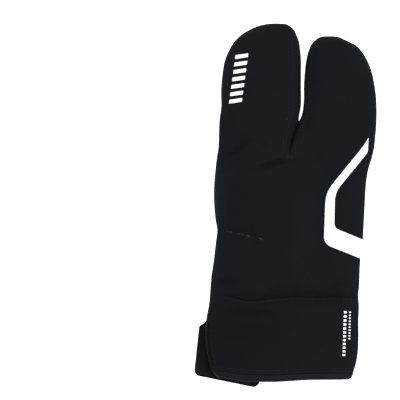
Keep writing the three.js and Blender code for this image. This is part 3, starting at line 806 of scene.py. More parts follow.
def tip_closed(points, side, is_top, y):
    """Adds the inner column where the cloth turns in to the side seam above the gusset."""
    edge = points[:, -1:].copy()
    above = above_gusset(side, y[:, :1])
    level = sewn_level(edge, is_top)
    edge[..., 0] += np.where(above, turn_in(side, y[:, :1]), 0)
    edge[..., 2] = np.where(above, level, edge[..., 2])
    return np.concatenate([points, edge], axis=1)


def kept_between(side, y, seam):
    """The seam kept between the two edges, and its share of the way from the outer to the inner edge."""
    outer, inner, _, _ = half_at(side, y)
    seam = np.where((seam - inner) * side < 0, inner, seam)
    seam = np.where((outer - seam) * side < 0, outer, seam)
    width = np.where(np.abs(inner - outer) < TINY, -TINY * side, inner - outer)
    return seam, np.clip((seam - outer) / width, 0, 1)


# %% One half of a hand panel
def hand_half(side, is_top):
    """Outside and inside of one half of the back or the palm."""
    trunk = stations(WRIST_Y + 0.5 * SEWN_GAP, CROTCH_Y, STEP)
    y = np.concatenate([trunk[:-len(RIM_PLACES)], trunk[-1:], pocket_stations(side)[1:]])
    y = y[(y < POINT_Y - RIM_CLEARANCE) | (y > CROTCH_Y)]
    y = np.unique(np.concatenate([y, FOOT_ROWS]))[:, None]
    along_gusset = gusset_edge(side, y) + side * 0.5 * SEWN_GAP * (y > POINT_Y)
    seam, seam_share = kept_between(side, y, np.where(y < POINT_Y, half_at(side, y)[1], along_gusset))
    share = seam_share * column_shares[None, :]
    y = np.broadcast_to(y, share.shape)
    outside = shell_points(side, share, y, is_top, 0.0)
    inside = shell_points(side, share, y, is_top, WALL)
    to_seam = np.abs(outside[..., 0] - np.broadcast_to(seam, share.shape))
    to_seam = np.where(y < POINT_Y, gusset_distance(side, outside[..., 0], y), to_seam)
    distance = np.minimum(to_seam, y - WRIST_Y - 0.5 * SEWN_GAP)
    sheets = []
    for sheet in rolled(outside, inside, distance):
        sheet = tip_closed(tucked(sheet, side, is_top, y), side, is_top, y)
        sheet[..., 1] = swayed(sheet[..., 0], sheet[..., 1])
        sheets.append(sheet)
    return sheets


# %% The thumb's hole, and panels of two halves
HOLE_LENGTH, HOLE_WIDTH, HOLE_FLANGE = 34.0, 27.0, 2.4
HOLE_ALONG = -0.5 * THUMB_LENGTH + WALL + HOLE_FLANGE + 0.5 * HOLE_LENGTH


def hole_reach(x, y):
    """0 in the middle of the oval hole that leads into the thumb, and 1 at its edge."""
    across, along = on_thumb(x, y)
    return np.hypot(across / (0.5 * HOLE_WIDTH), (along - HOLE_ALONG) / (0.5 * HOLE_LENGTH))


def without_hole(outside, faces):
    centres = np.array([outside[face].mean(axis=0) for face in faces])
    keep = hole_reach(centres[:, 0], centres[:, 1]) > 1
    return [face for face, kept in zip(faces, keep) if kept]


def both_halves(name, make_half, is_top, has_hole=False):
    halves = [(*make_half(side, is_top), (side == RING) == is_top) for side in (INDEX, RING)]
    outside, inside, faces = stacked(halves)
    if has_hole:
        faces = without_hole(outside, faces)
    return sewn_panel(name, outside, inside, faces)


back = both_halves("back_cloth", hand_half, True)
palm = both_halves("palm_cloth", hand_half, False, has_hole=True)

# %% [markdown]
# ## The gusset
# Between the pockets a strip of stretch cloth makes the side walls of the fingers. It starts in a small
# point on the back of the hand, runs up both sides of the slit and ends below the fingertips. It is made of
# one strip for each pocket, bent over the pocket's inner side, and of the two points on the back and the
# palm. Low in the slit the two pockets press against each other, and higher up the table shows between
# them.

# %% Strips and points of the gusset
BAND_COLUMNS = 7
WALL_COLUMNS = 8
SLIT_OPENS_Y, SLIT_OPENS_RUN = CROTCH_Y + 0.3 * INDEX_LENGTH, 5.0
WALL_PRESS = 0.15


def gusset_strip(side, inset):
    """Rows up the pocket, with columns over the back, down the wall and under the palm."""
    y = pocket_stations(side)[:, None]
    _, seam_share = kept_between(side, y, gusset_edge(side, y))
    share = mix(seam_share, 1.0, np.linspace(0, 1, BAND_COLUMNS)[None, :])
    y = np.broadcast_to(y, share.shape)
    top = shell_points(side, share, y, True, inset)
    bottom = shell_points(side, share, y, False, inset)
    shares = np.linspace(0, 1, WALL_COLUMNS + 1)[None, 1:-1, None]
    wall = mix(top[:, -1:], bottom[:, -1:], shares)
    slit = np.abs(slit_at(y[:, :1]) - top[:, -1:, 0])
    touching = ease((SLIT_OPENS_Y - y[:, :1]) / SLIT_OPENS_RUN)
    if not inset:
        wall[..., 0] -= side * (slit + WALL_PRESS) * touching * np.sin(np.pi * shares[..., 0])
    strip = np.concatenate([top, wall, bottom[:, ::-1]], axis=1)
    above = above_gusset(side, y[:, :1])
    end_x = top[:, -1:, 0] + turn_in(side, y[:, :1])
    end_z = seam_level(top[:, -1:, 0], top[:, -1:, 1])
    strip[..., 0] = np.where(above, end_x, strip[..., 0])
    strip[..., 2] = np.where(above, end_z, strip[..., 2])
    return strip


def gusset_point(is_top, inset):
    """The small triangle at the foot of the slit, on the back or on the palm."""
    y = FOOT_ROWS[:, None]
    halves = []
    for side in (INDEX, RING):
        outer, inner, _, _ = half_at(side, y)
        seam_share = (gusset_edge(side, y) - outer) / (inner - outer)
        share = mix(seam_share, 1.0, np.linspace(0, 1, BAND_COLUMNS)[None, :])
        halves.append(shell_points(side, share, np.broadcast_to(y, share.shape), is_top, inset))
    return np.concatenate([halves[0], halves[1][:, -2::-1]], axis=1)


# function, its side or whether it is the top, and flip
GUSSET_GRIDS = (
    (gusset_strip, INDEX, False),
    (gusset_strip, RING, True),
    (gusset_point, True, False),
    (gusset_point, False, True),
)
gusset_grids = [(make(which, 0.0), make(which, WALL), flip) for make, which, flip in GUSSET_GRIDS]
gusset = sewn_panel("gusset_cloth", *stacked(gusset_grids))

# %% [markdown]
# ## The cuff, its hem and its slit
# The cuff is a second tube of softshell, sewn on at the wrist. Its end is turned over into a hem, and at
# the thumb side it is slit and bound with tape, so that the hand gets in. These are grids over the same
# height as before.

# %% Cuff and hem panels
SLIT_FROM, SLIT_TO = 0.12 * CUFF_LENGTH, 0.78 * CUFF_LENGTH
BINDING_FADE = 6.0
BOUND = 0.02


def binding_share(y):
    """From 0 at the ends of the slit to 1 along it."""
    return ease((y - SLIT_FROM) / BINDING_FADE) * ease((SLIT_TO - y) / BINDING_FADE)


def cuff_grid(side, is_top, y_from, y_to, keeps_off=0.0):
    """Outside and inside of one half of a band between two y. It can keep off the tape at its outer edge."""
    y = stations(y_from, y_to, STEP)[:, None]
    outer, inner, _, _ = half_at(side, y)
    begin = outer - side * keeps_off * binding_share(y)
    share = mix((begin - outer) / (inner - outer), 1.0, column_shares[None, :])
    y = np.broadcast_to(y, share.shape)
    outside = shell_points(side, share, y, is_top, 0.0)
    inside = shell_points(side, share, y, is_top, WALL)
    distance = np.minimum(y - y_from, y_to - y)
    if keeps_off:
        to_binding = np.abs(outside[..., 0] - np.broadcast_to(begin, share.shape))
        distance = np.where(binding_share(y) > BOUND, np.minimum(distance, to_binding), distance)
    sheets = []
    for sheet in rolled(outside, inside, distance):
        if not keeps_off:
            sheet = tucked(sheet, side, is_top, y)
        sheet[..., 1] = swayed(sheet[..., 0], sheet[..., 1])
        sheets.append(sheet)
    return sheets


def cuff_half(side, is_top):
    keeps_off = BINDING_WIDTH + SEWN_GAP if is_top and side == INDEX else 0.0
    return cuff_grid(side, is_top, HEM_WIDTH + 0.5 * SEWN_GAP, WRIST_Y - 0.5 * SEWN_GAP, keeps_off)


def hem_half(side, is_top):
    return cuff_grid(side, is_top, 0.0, HEM_WIDTH - 0.5 * SEWN_GAP)


cuff_top = both_halves("cuff_back_cloth", cuff_half, True)
cuff_bottom = both_halves("cuff_palm_cloth", cuff_half, False)
hem_top = both_halves("hem_back_cloth", hem_half, True)
hem_bottom = both_halves("hem_palm_cloth", hem_half, False)

# %% [markdown]
# ## The thumb under the palm
# The thumb is a short tube with an upper and a lower half, sewn along its sides. It is folded under the
# palm, so the hand lies a little higher there. Its table is again one row for each station, and both halves
# are grids.

# %% Halves of the thumb
THUMB_EDGE, THUMB_CLOSING = 0.6, 0.006
WRINKLE, WRINKLE_WAVE = 0.25, 0.55
WRINKLE_SWAY, WRINKLE_SWAY_WAVE = 1.2, 0.2
LOWER_WRINKLE_SHARE = 0.6


def thumb_stations():
    """The rows of the thumb's table with a closed row at either end, at even steps along its outline."""
    closed = []
    for row, beyond in ((0, -THUMB_CLOSING), (-1, THUMB_CLOSING)):
        along, _, middle, upper, lower = THUMB_SECTIONS[row]
        closed.append((along + beyond, 0.0, middle, 0.5 * upper, 0.5 * lower))
    rows = np.vstack([closed[0], THUMB_SECTIONS, closed[1]])
    places = run_along(rows[:, 0] * THUMB_LENGTH, rows[:, 1] * 0.5 * THUMB_WIDTH)
    fine = smooth_through(places, rows, np.linspace(0, places[-1], int(places[-1] / STEP)))
    fine[:, 1] = np.maximum(fine[:, 1], 0)
    return fine


def thumb_sheet(is_top, inset):
    rows = thumb_stations()
    shares = column_shares[None, :]
    half = np.maximum(0.5 * THUMB_WIDTH * rows[:, 1:2] - inset, 0)
    across = mix(-half, half, shares)
    end = 0.5 * THUMB_LENGTH - inset
    along = np.broadcast_to(mix(-end, end, rows[:, :1]), across.shape)
    x, y = turned(across, along, -THUMB_TURN)
    edge = THUMB_EDGE * (INSIDE_EDGE if inset else 1.0)
    amount = rows[:, 3:4] if is_top else rows[:, 4:5]
    form = arch(2 * shares - 1)
    rise = edge + np.maximum(amount * THUMB_THICKNESS - edge - inset, 0) * form
    middle = rows[:, 2:3] * THUMB_THICKNESS
    sway = WRINKLE_SWAY * np.sin(across * WRINKLE_SWAY_WAVE)
    wrinkle = WRINKLE * np.sin(along * WRINKLE_WAVE + sway) * form * (inset == 0)
    if is_top:
        height = middle + rise - wrinkle
    else:
        height = np.maximum(middle - rise + LOWER_WRINKLE_SHARE * wrinkle, inset)
    points = np.stack([THUMB_MIDDLE[0] + x, THUMB_MIDDLE[1] + y, height], axis=-1)
    first, last = points[:, :1].copy(), points[:, -1:].copy()
    for side_seam in (first, last):
        side_seam[..., 2] = middle + (0.5 if is_top else -0.5) * SEWN_GAP
    return np.concatenate([first, points, last], axis=1)


def thumb_half(name, is_top):
    outside, inside = thumb_sheet(is_top, 0.0), thumb_sheet(is_top, WALL)
    faces = grid_faces(*outside.shape[:2], flip=not is_top)
    outside, inside = outside.reshape(-1, 3), inside.reshape(-1, 3)
    if is_top:
        faces = without_hole(outside, faces)
    return sewn_panel(name, outside, inside, faces)


thumb_upper = thumb_half("thumb_top_cloth", True)
thumb_lower = thumb_half("thumb_bottom_cloth", False)

# %% [markdown]
# ## Things that lie on the back
# The stripe, the printed marks and the stitches all lie on the cloth. One helper puts a point on the
# outside of the back and lifts it straight out of the surface, so that thin things follow every fold.

# %% Points on the back
SLOPE_REACH = 0.25


def on_back(x, y, lift):
    """Points on the back at pattern places x and y, lifted out of the cloth along its normal."""
    x, y = np.asarray(x, float), np.asarray(y, float)
    reach = SLOPE_REACH

    def height(a, b):
        both = [shell_height(side, a, b, True, 0.0) for side in (INDEX, RING)]
        split = np.where(b < CROTCH_Y, middle_at(b), slit_at(b))
        return np.where(a < split, both[0], both[1])

    z = height(x, y)
    slope_x = (height(x + reach, y) - height(x - reach, y)) / (2 * reach)
    slope_y = (height(x, y + reach) - height(x, y - reach)) / (2 * reach)
    length = np.sqrt(slope_x ** 2 + slope_y ** 2 + 1)
    lifted = np.stack([x - lift * slope_x / length, y - lift * slope_y / length, z + lift / length], axis=-1)
    lifted[..., 1] = swayed(lifted[..., 0], lifted[..., 1])
    return lifted


# %% [markdown]
# ## The reflective stripe
# A band of white reflective film is pressed onto the back at the little finger side. It comes down from the
# ring pocket, turns upright and runs out to the side seam, and its corners are round. Each of its two edges
# is a line of corners with a radius. The band is a grid between the two edges.

# %% Round corners along an edge
def rounded_line(corners, straight=16, turn=9):
    """Points along corners given as across, along and radius, with the same count for each stretch."""
    places = [np.array([across * HAND_WIDTH, WRIST_Y + along * HAND_LENGTH]) for across, along, _ in corners]
    line = []
    start = places[0]
    for i in range(1, len(corners)):
        if i == len(corners) - 1:
            line += [mix(start, places[i], t) for t in 0.5 - 0.5 * np.cos(np.linspace(0, np.pi, straight))]
            break
        before = (places[i - 1] - places[i]) / np.linalg.norm(places[i - 1] - places[i])
        after = (places[i + 1] - places[i]) / np.linalg.norm(places[i + 1] - places[i])
        cut = corners[i][2]
        into, out = places[i] + before * cut, places[i] + after * cut
        line += [mix(start, into, t) for t in np.linspace(0, 1, straight)[:-1]]
        for t in np.linspace(0, 1, turn)[:-1]:
            line.append((1 - t) ** 2 * into + 2 * t * (1 - t) * places[i] + t * t * out)
        start = out
    return np.array(line)


# %% The stripe between its edges
STRIPE_COLUMNS = 11
STRIPE_LOW, STRIPE_HIGH = 0.1, 0.1 + STRIPE_THICKNESS * 0.6
# across and along in shares of the hand, from x = 0 and the wrist seam, and the reach of the rounding in mm
STRIPE_LEFT = [
    (0.5385, 1.124, 0.0),
    (0.510, 1.073, 2.0),
    (0.256, 0.743, 9.0),
    (0.2435, 0.386, 6.2),
    (0.493, 0.280, 0.0),
]
STRIPE_RIGHT = [
    (0.5395, 1.125, 0.0),
    (0.5355, 1.027, 2.0),
    (0.318, 0.745, 7.0),
    (0.312, 0.497, 4.0),
    (0.502, 0.4145, 0.0),
]

left_edge, right_edge = rounded_line(STRIPE_LEFT)[:, None, :], rounded_line(STRIPE_RIGHT)[:, None, :]
stripe_shares = np.linspace(0, 1, STRIPE_COLUMNS)[None, :, None]
stripe_x, stripe_y = np.moveaxis(mix(left_edge, right_edge, stripe_shares), -1, 0)
stripe_outside = on_back(stripe_x, stripe_y, STRIPE_HIGH)
stripe_inside = on_back(stripe_x, stripe_y, STRIPE_LOW)
stripe = sewn_panel("reflective_band", *stacked([(stripe_outside, stripe_inside, True)]))

# %% [markdown]
# ## Plain printed marks
# On the index pocket and on the cuff the real mitten has small white prints. Here plain rows of dashes
# stand there, in the same white film. One dash is a small grid. Geometry Nodes repeat it along a line, and
# the result is laid on the back, so that each dash follows the curve of the cloth.

# %% Geometry Nodes that repeat a piece along a line
def socket(tree, name):
    """The identifier of a tree's input, by which a modifier sets it."""
    return next(item.identifier for item in tree.interface.items_tree if item.name == name)


def repeat_tree(name):
    tree = bpy.data.node_groups.new(name, "GeometryNodeTree")
    entries = (("Line", "Geometry"), ("Pitch", "Float"), ("Piece", "Object"), ("Finish", "Material"))
    for label, kind in entries:
        tree.interface.new_socket(name=label, in_out="INPUT", socket_type="NodeSocket" + kind)
    tree.interface.new_socket(name="Pieces", in_out="OUTPUT", socket_type="NodeSocketGeometry")
    kinds = (
        ("in", "NodeGroupInput"),
        ("curve", "GeometryNodeMeshToCurve"),
        ("even", "GeometryNodeResampleCurve"),
        ("tangent", "GeometryNodeInputTangent"),
        ("turn", "FunctionNodeAlignRotationToVector"),
        ("piece", "GeometryNodeObjectInfo"),
        ("repeat", "GeometryNodeInstanceOnPoints"),
        ("real", "GeometryNodeRealizeInstances"),
        ("finish", "GeometryNodeSetMaterial"),
        ("out", "NodeGroupOutput"),
    )
    nodes = {key: tree.nodes.new(kind) for key, kind in kinds}
    nodes["even"].mode = "LENGTH"
    nodes["turn"].axis = "X"
    wires = (
        ("in", "Line", "curve", "Mesh"),
        ("curve", "Curve", "even", "Curve"),
        ("in", "Pitch", "even", "Length"),
        ("tangent", "Tangent", "turn", "Vector"),
        ("even", "Curve", "repeat", "Points"),
        ("in", "Piece", "piece", "Object"),
        ("piece", "Geometry", "repeat", "Instance"),
        ("turn", "Rotation", "repeat", "Rotation"),
        ("repeat", "Instances", "real", "Geometry"),
        ("real", "Geometry", "finish", "Geometry"),
        ("in", "Finish", "finish", "Material"),
        ("finish", "Geometry", "out", "Pieces"),
    )
    for start, output, end, entry in wires:
        tree.links.new(nodes[start].outputs[output], nodes[end].inputs[entry])
    return tree


along_line = repeat_tree("repeat along a line")


def small_object(name, points, edges, faces):
    mesh = bpy.data.meshes.new(name)
    mesh.from_pydata((np.asarray(points) * MM).tolist(), edges, faces)
    made = bpy.data.objects.new(name, mesh)
    bpy.context.scene.collection.objects.link(made)
    return made


def repeated(name, lines, pitch, piece, finish):
    """A plain mesh with the piece repeated along lines of points in pattern millimetres."""
    points = [place for line in lines for place in line]
    edges, start = [], 0
    for line in lines:
        edges += [(start + i, start + i + 1) for i in range(len(line) - 1)]
        start += len(line)
    path = small_object(name + "_path", np.asarray(points) + SHIFT / MM, edges, [])
    modifier = path.modifiers.new("repeat", "NODES")
    modifier.node_group = along_line
    modifier[socket(along_line, "Pitch")] = pitch * MM
    modifier[socket(along_line, "Piece")] = piece
    modifier[socket(along_line, "Finish")] = finish
    bpy.context.view_layer.update()
    evaluated = path.evaluated_get(bpy.context.evaluated_depsgraph_get())
    mesh = bpy.data.meshes.new_from_object(evaluated)
    mesh.name = name
    made = bpy.data.objects.new(name, mesh)
    bpy.context.scene.collection.objects.link(made)
    bpy.data.objects.remove(path)
    print(name, len(mesh.polygons), "faces")
    return made


# %% [markdown]
# ## Cloth and film, as materials
# Black softshell is woven so finely that it looks flat from afar. Up close there is a weave, the yarn is a
# little uneven, and there are pale rubbed patches. Seam edges and the ridges of folds are painted paler,
# which is painted light, and creases are painted darker, which is painted shade. These effects are node
# groups with named inputs, because every cloth on the mitten uses them with its own values. They read Object
# coordinates, which here are metres on the mitten.

# %% Node group helpers
def group_with(name, inputs, outputs):
    tree = bpy.data.node_groups.new(name, "ShaderNodeTree")
    for label, value in inputs:
        made = tree.interface.new_socket(name=label, in_out="INPUT", socket_type="NodeSocketFloat")
        made.default_value = value
    for label in outputs:
        tree.interface.new_socket(name=label, in_out="OUTPUT", socket_type="NodeSocketFloat")
    return tree, tree.nodes.new("NodeGroupInput"), tree.nodes.new("NodeGroupOutput")


def maths(tree, operation, *values):
    node = tree.nodes.new("ShaderNodeMath")
    node.operation = operation
    for entry, value in zip(node.inputs, values):
        if isinstance(value, (int, float)):
            entry.default_value = value
        else:
            tree.links.new(value, entry)
    return node.outputs[0]


def wire(tree, *pairs):
    """Links outputs to inputs, given in pairs."""
    for output, entry in pairs:
        tree.links.new(output, entry)


def object_place(tree):
    return tree.nodes.new("ShaderNodeTexCoord").outputs["Object"]


def group_node(tree, group, values):
    """A node of a node group, with some of its inputs set by name."""
    node = tree.nodes.new("ShaderNodeGroup")
    node.node_tree = group
    for label, value in values:
        node.inputs[label].default_value = value
    return node


def colour_mix(tree, share, start, end):
    """A colour between two, each a plain colour or another node's output."""
    node = tree.nodes.new("ShaderNodeMix")
    node.data_type = "RGBA"
    for label, value in (("A", start), ("B", end)):
        if isinstance(value, tuple):
            node.inputs[label].default_value = (*value, 1)
        else:
            tree.links.new(value, node.inputs[label])
    tree.links.new(share, node.inputs["Factor"])
    return node.outputs["Result"]


def new_material(name):
    made = bpy.data.materials.new(name)
    made.use_nodes = True
    return made, made.node_tree, made.node_tree.nodes["Principled BSDF"]


def noise_at(tree, place, scale, detail, rough=0.5):
    node = tree.nodes.new("ShaderNodeTexNoise")
    node.inputs["Detail"].default_value = detail
    node.inputs["Roughness"].default_value = rough
    tree.links.new(place, node.inputs["Vector"])
    if isinstance(scale, (int, float)):
        node.inputs["Scale"].default_value = scale
    else:
        tree.links.new(scale, node.inputs["Scale"])
    return node.outputs["Fac"]


# %% Weave: yarns over and under each other
YARN_GRAIN, YARN_DETAIL = 900.0, 2.0


def weave_tree():
    inputs = (("Yarns per metre", 2200.0), ("Unevenness", 0.3))
    tree, start, end = group_with("weave of fine yarns", inputs, ("Height", "Mask"))
    place = object_place(tree)
    split = tree.nodes.new("ShaderNodeSeparateXYZ")
    tree.links.new(place, split.inputs[0])
    half_turns = maths(tree, "MULTIPLY", start.outputs["Yarns per metre"], math.pi)
    warp = maths(tree, "SINE", maths(tree, "MULTIPLY", split.outputs["X"], half_turns))
    along = maths(tree, "ADD", split.outputs["Y"], split.outputs["Z"])
    weft = maths(tree, "SINE", maths(tree, "MULTIPLY", along, half_turns))
    crossing = maths(tree, "MULTIPLY", warp, weft)
    yarn = noise_at(tree, place, YARN_GRAIN, YARN_DETAIL)
    uneven = maths(tree, "MULTIPLY", maths(tree, "SUBTRACT", yarn, 0.5), start.outputs["Unevenness"])
    height = maths(tree, "MULTIPLY_ADD", crossing, 0.5, uneven)
    mask = maths(tree, "MULTIPLY_ADD", crossing, 0.5, 0.5)
    wire(tree, (height, end.inputs["Height"]), (mask, end.inputs["Mask"]))
    return tree


# %% Wear, lint and painted light: pale rubbed patches, painted light on edges and painted shade in creases
# By their curvature, edges are painted paler as painted light and creases darker as painted shade, and only
# the highest specks of the fine noise show as lint.
PATCH_DETAIL, PATCH_ROUGHNESS = 4.0, 0.6
EDGE_LIGHT_AND_SHADE = 4.0
LINT_GRAIN, LINT_DETAIL, LINT_LEVEL = 700.0, 1.0, 0.78


def wear_and_shade_tree():
    inputs = (("Patches per metre", 22.0), ("Amount", 0.5))
    tree, start, end = group_with("wear and lint", inputs, ("Rubbed", "Lint"))
    place = object_place(tree)
    patches = noise_at(tree, place, start.outputs["Patches per metre"], PATCH_DETAIL, PATCH_ROUGHNESS)
    edges = tree.nodes.new("ShaderNodeNewGeometry").outputs["Pointiness"]
    # Painted light and shade: by curvature, convex edges get a paler tone and concave creases a darker one
    rim = maths(tree, "MULTIPLY", maths(tree, "SUBTRACT", edges, 0.5), EDGE_LIGHT_AND_SHADE)
    wear_and_edge_shade = maths(tree, "MULTIPLY", maths(tree, "ADD", patches, rim), start.outputs["Amount"])
    specks = noise_at(tree, place, LINT_GRAIN, LINT_DETAIL)
    lint = maths(tree, "GREATER_THAN", specks, LINT_LEVEL)
    wire(tree, (wear_and_edge_shade, end.inputs["Rubbed"]), (lint, end.inputs["Lint"]))
    return tree


weave_group, wear_and_shade_group = weave_tree(), wear_and_shade_tree()
print("node groups", weave_group.name, "and", wear_and_shade_group.name)


# %% Pale marks: short pale marks on the crease
PALE_MARK_GRAIN, PALE_MARK_DETAIL = 650.0, 3.0
PALE_MARK_GAPS, PALE_MARK_STRENGTH = 0.42, 5.0


def pale_mark_tree():
    """An oval mask that a noise breaks up."""
    inputs = (("X", 0.0), ("Y", 0.0), ("Length", 0.006), ("Width", 0.0012), ("Turn", 0.0))
    tree, start, end = group_with("scuff", inputs, ("Mask",))
    centre = tree.nodes.new("ShaderNodeCombineXYZ")
    place = object_place(tree)
    offset = tree.nodes.new("ShaderNodeVectorMath")
    offset.operation = "SUBTRACT"
    rotation = tree.nodes.new("ShaderNodeVectorRotate")
    rotation.rotation_type = "Z_AXIS"
    split = tree.nodes.new("ShaderNodeSeparateXYZ")
    wire(
        tree,
        (start.outputs["X"], centre.inputs["X"]),
        (start.outputs["Y"], centre.inputs["Y"]),
        (place, offset.inputs[0]),
        (centre.outputs[0], offset.inputs[1]),
        (offset.outputs[0], rotation.inputs["Vector"]),
        (start.outputs["Turn"], rotation.inputs["Angle"]),
        (rotation.outputs[0], split.inputs[0]),
    )
    along = maths(tree, "DIVIDE", split.outputs["X"], start.outputs["Length"])
    across = maths(tree, "DIVIDE", split.outputs["Y"], start.outputs["Width"])
    squares = maths(tree, "MULTIPLY_ADD", along, along, maths(tree, "MULTIPLY", across, across))
    inside = maths(tree, "SUBTRACT", 1.0, maths(tree, "MULTIPLY", squares, 4.0))
    broken = maths(tree, "SUBTRACT", noise_at(tree, place, PALE_MARK_GRAIN, PALE_MARK_DETAIL), PALE_MARK_GAPS)
    strength = maths(tree, "MULTIPLY", broken, PALE_MARK_STRENGTH)
    mask = maths(tree, "MULTIPLY", maths(tree, "MAXIMUM", inside, 0.0), strength)
    tree.links.new(mask, end.inputs["Mask"])
    return tree


pale_mark_group = pale_mark_tree()
print("node group", pale_mark_group.name)


# %% One cloth from its values
# How much weave, rubbed patches with the painted edge light and crease shade, and lint each draw the colour
# to the pale tone, and how much glossier rubbed cloth is
WEAR_AND_SHADE_AMOUNT = 0.5
WEAVE_SHARE, WEAR_AND_EDGE_SHADE_SHARE, LINT_SHARE = 0.35, 0.8, 0.35
RUBBED_GLOSS = 0.12
WEAVE_STRENGTH = 0.6
SHEEN, SHEEN_ROUGHNESS = 0.01, 0.4


def cloth_material(name, dark, pale, yarns, depth, roughness, specular):
    """Weave, wear with painted edge light and crease shade, and lint between a dark and a pale tone of one
    cloth.
    """
    made, tree, shader = new_material(name)
    weave = group_node(tree, weave_group, (("Yarns per metre", yarns),))
    wear_and_shade = group_node(tree, wear_and_shade_group, (("Amount", WEAR_AND_SHADE_AMOUNT),))
    share = maths(tree, "MULTIPLY", weave.outputs["Mask"], WEAVE_SHARE)
    share = maths(tree, "MULTIPLY_ADD", wear_and_shade.outputs["Rubbed"], WEAR_AND_EDGE_SHADE_SHARE, share)
    share = maths(tree, "MULTIPLY_ADD", wear_and_shade.outputs["Lint"], LINT_SHARE, share)
    gloss = maths(tree, "MULTIPLY", wear_and_shade.outputs["Rubbed"], RUBBED_GLOSS)
    bump = tree.nodes.new("ShaderNodeBump")
    bump.inputs["Distance"].default_value = depth
    bump.inputs["Strength"].default_value = WEAVE_STRENGTH
    wire(
        tree,
        (colour_mix(tree, share, dark, pale), shader.inputs["Base Color"]),
        (maths(tree, "SUBTRACT", roughness, gloss), shader.inputs["Roughness"]),
        (weave.outputs["Height"], bump.inputs["Height"]),
        (bump.outputs["Normal"], shader.inputs["Normal"]),
    )
    shader.inputs["Specular IOR Level"].default_value = specular
    shader.inputs["Sheen Weight"].default_value = SHEEN
    shader.inputs["Sheen Roughness"].default_value = SHEEN_ROUGHNESS
    return made


# name, dark, pale, yarns per metre, depth of the weave in metres, roughness, specular
CLOTHS = (
    ("black softshell", (0.0037, 0.0042, 0.0058), (0.0095, 0.0101, 0.0122), 2000, 0.00012, 0.9, 0.04),
    ("black palm cloth", (0.0030, 0.0032, 0.0042), (0.0105, 0.0105, 0.0125), 1100, 0.0002, 0.72, 0.08),
    ("black stretch cloth", (0.0030, 0.0031, 0.0045), (0.0084, 0.0085, 0.0105), 1500, 0.00018, 0.8, 0.07),
    # The hem is the softshell again with a paler pale tone, which is painted light where the turned hem
    # catches the lamps
    ("hem of the softshell", (0.0036, 0.0038, 0.0052), (0.0105, 0.0108, 0.0128), 2000, 0.00012, 0.75, 0.08),
    ("black binding tape", (0.0026, 0.0027, 0.0036), (0.0070, 0.0071, 0.0085), 900, 0.00025, 0.85, 0.04),
    ("coated webbing", (0.0026, 0.0025, 0.0027), (0.0087, 0.0083, 0.0087), 700, 0.0003, 0.7, 0.05),
    ("black thread", (0.0065, 0.0065, 0.0078), (0.015, 0.015, 0.017), 3000, 0.00004, 0.55, 0.1),
    ("black hook tape", (0.002, 0.002, 0.002), (0.009, 0.009, 0.009), 800, 0.0003, 0.6, 0.08),
)
cloths = [cloth_material(*row) for row in CLOTHS]
softshell, palm_cloth, stretch, hem_cloth, tape, webbing, thread, hooks = cloths
print("cloths", [cloth.name for cloth in cloths])

# %% Pale marks on the softshell
# x, y, length and width in metres, on the crease over the thumb
PALE_MARKS = (
    (-0.0447, -0.0217, 0.0055, 0.0014),
    (-0.0336, -0.0242, 0.0125, 0.0016),
    (-0.0202, -0.0272, 0.0036, 0.002),
)
PALE_MARK_TURN = math.radians(12)
PALE_MARK_TONE = (0.05, 0.05, 0.055)


def add_pale_marks(material):
    """Puts the pale marks over the colour that the cloth already has."""
    tree = material.node_tree
    colour = tree.nodes["Principled BSDF"].inputs["Base Color"]
    for scuff in PALE_MARKS:
        values = zip(("X", "Y", "Length", "Width", "Turn"), (*scuff, PALE_MARK_TURN))
        mark = group_node(tree, pale_mark_group, values)
        over = colour_mix(tree, mark.outputs["Mask"], colour.links[0].from_socket, PALE_MARK_TONE)
        tree.links.new(over, colour)


add_pale_marks(softshell)
print(len(PALE_MARKS), "pale marks on", softshell.name)

# %% [markdown]
# The reflective film is white and full of tiny glass beads, so it is bright all over and hardly has a gloss
# of its own. It is a diffuse white with a fine grain.

# %% Reflective film
BEAD_GRAIN, BEAD_DETAIL, BEAD_DEPTH = 2600.0, 1.0, 0.00005
FILM_GREY, FILM_WHITE = (0.9, 0.9, 0.92), (0.98, 0.98, 0.985)
FILM_ROUGHNESS = 0.45

film_white, film_tree, film_shader = new_material("white reflective film")
beads = noise_at(film_tree, object_place(film_tree), BEAD_GRAIN, BEAD_DETAIL)
film_bump = film_tree.nodes.new("ShaderNodeBump")
film_bump.inputs["Distance"].default_value = BEAD_DEPTH
wire(
    film_tree,
    (colour_mix(film_tree, beads, FILM_GREY, FILM_WHITE), film_shader.inputs["Base Color"]),
    (beads, film_bump.inputs["Height"]),
    (film_bump.outputs["Normal"], film_shader.inputs["Normal"]),
)
film_shader.inputs["Roughness"].default_value = FILM_ROUGHNESS
print("film", film_white.name)

# %% Dashes on the index pocket and the cuff
DASH_ROWS, DASH_COLUMNS = 7, 4
PRINT_LOW = 0.05
# name, ends of the line in shares of the hand, pitch, then a dash's length, width and slant, and the height
MARKS = (
    ("pocket_dashes", (-0.337, 1.385), (-0.297, 1.697), 5.7, 9.6, 3.0, -0.28, 0.22),
    ("cuff_dashes", (0.379, -0.397), (0.388, -0.1), 2.8, 2.1, 1.6, 0.0, 0.2),
    ("cuff_fine_dashes", (0.415, -0.279), (0.42, -0.1), 2.2, 1.4, 0.9, 0.0, 0.18),
)


def dash(name, long, wide, slant):
    """A flat slanted dash: long across the line it is repeated on, wide along it."""
    across = np.linspace(-0.5, 0.5, DASH_ROWS)
    along = np.linspace(-0.5, 0.5, DASH_COLUMNS)
    places = [(wide * b + slant * long * a, long * a, 0.0) for a in across for b in along]
    return small_object(name, places, [], grid_faces(DASH_ROWS, DASH_COLUMNS, flip=True))


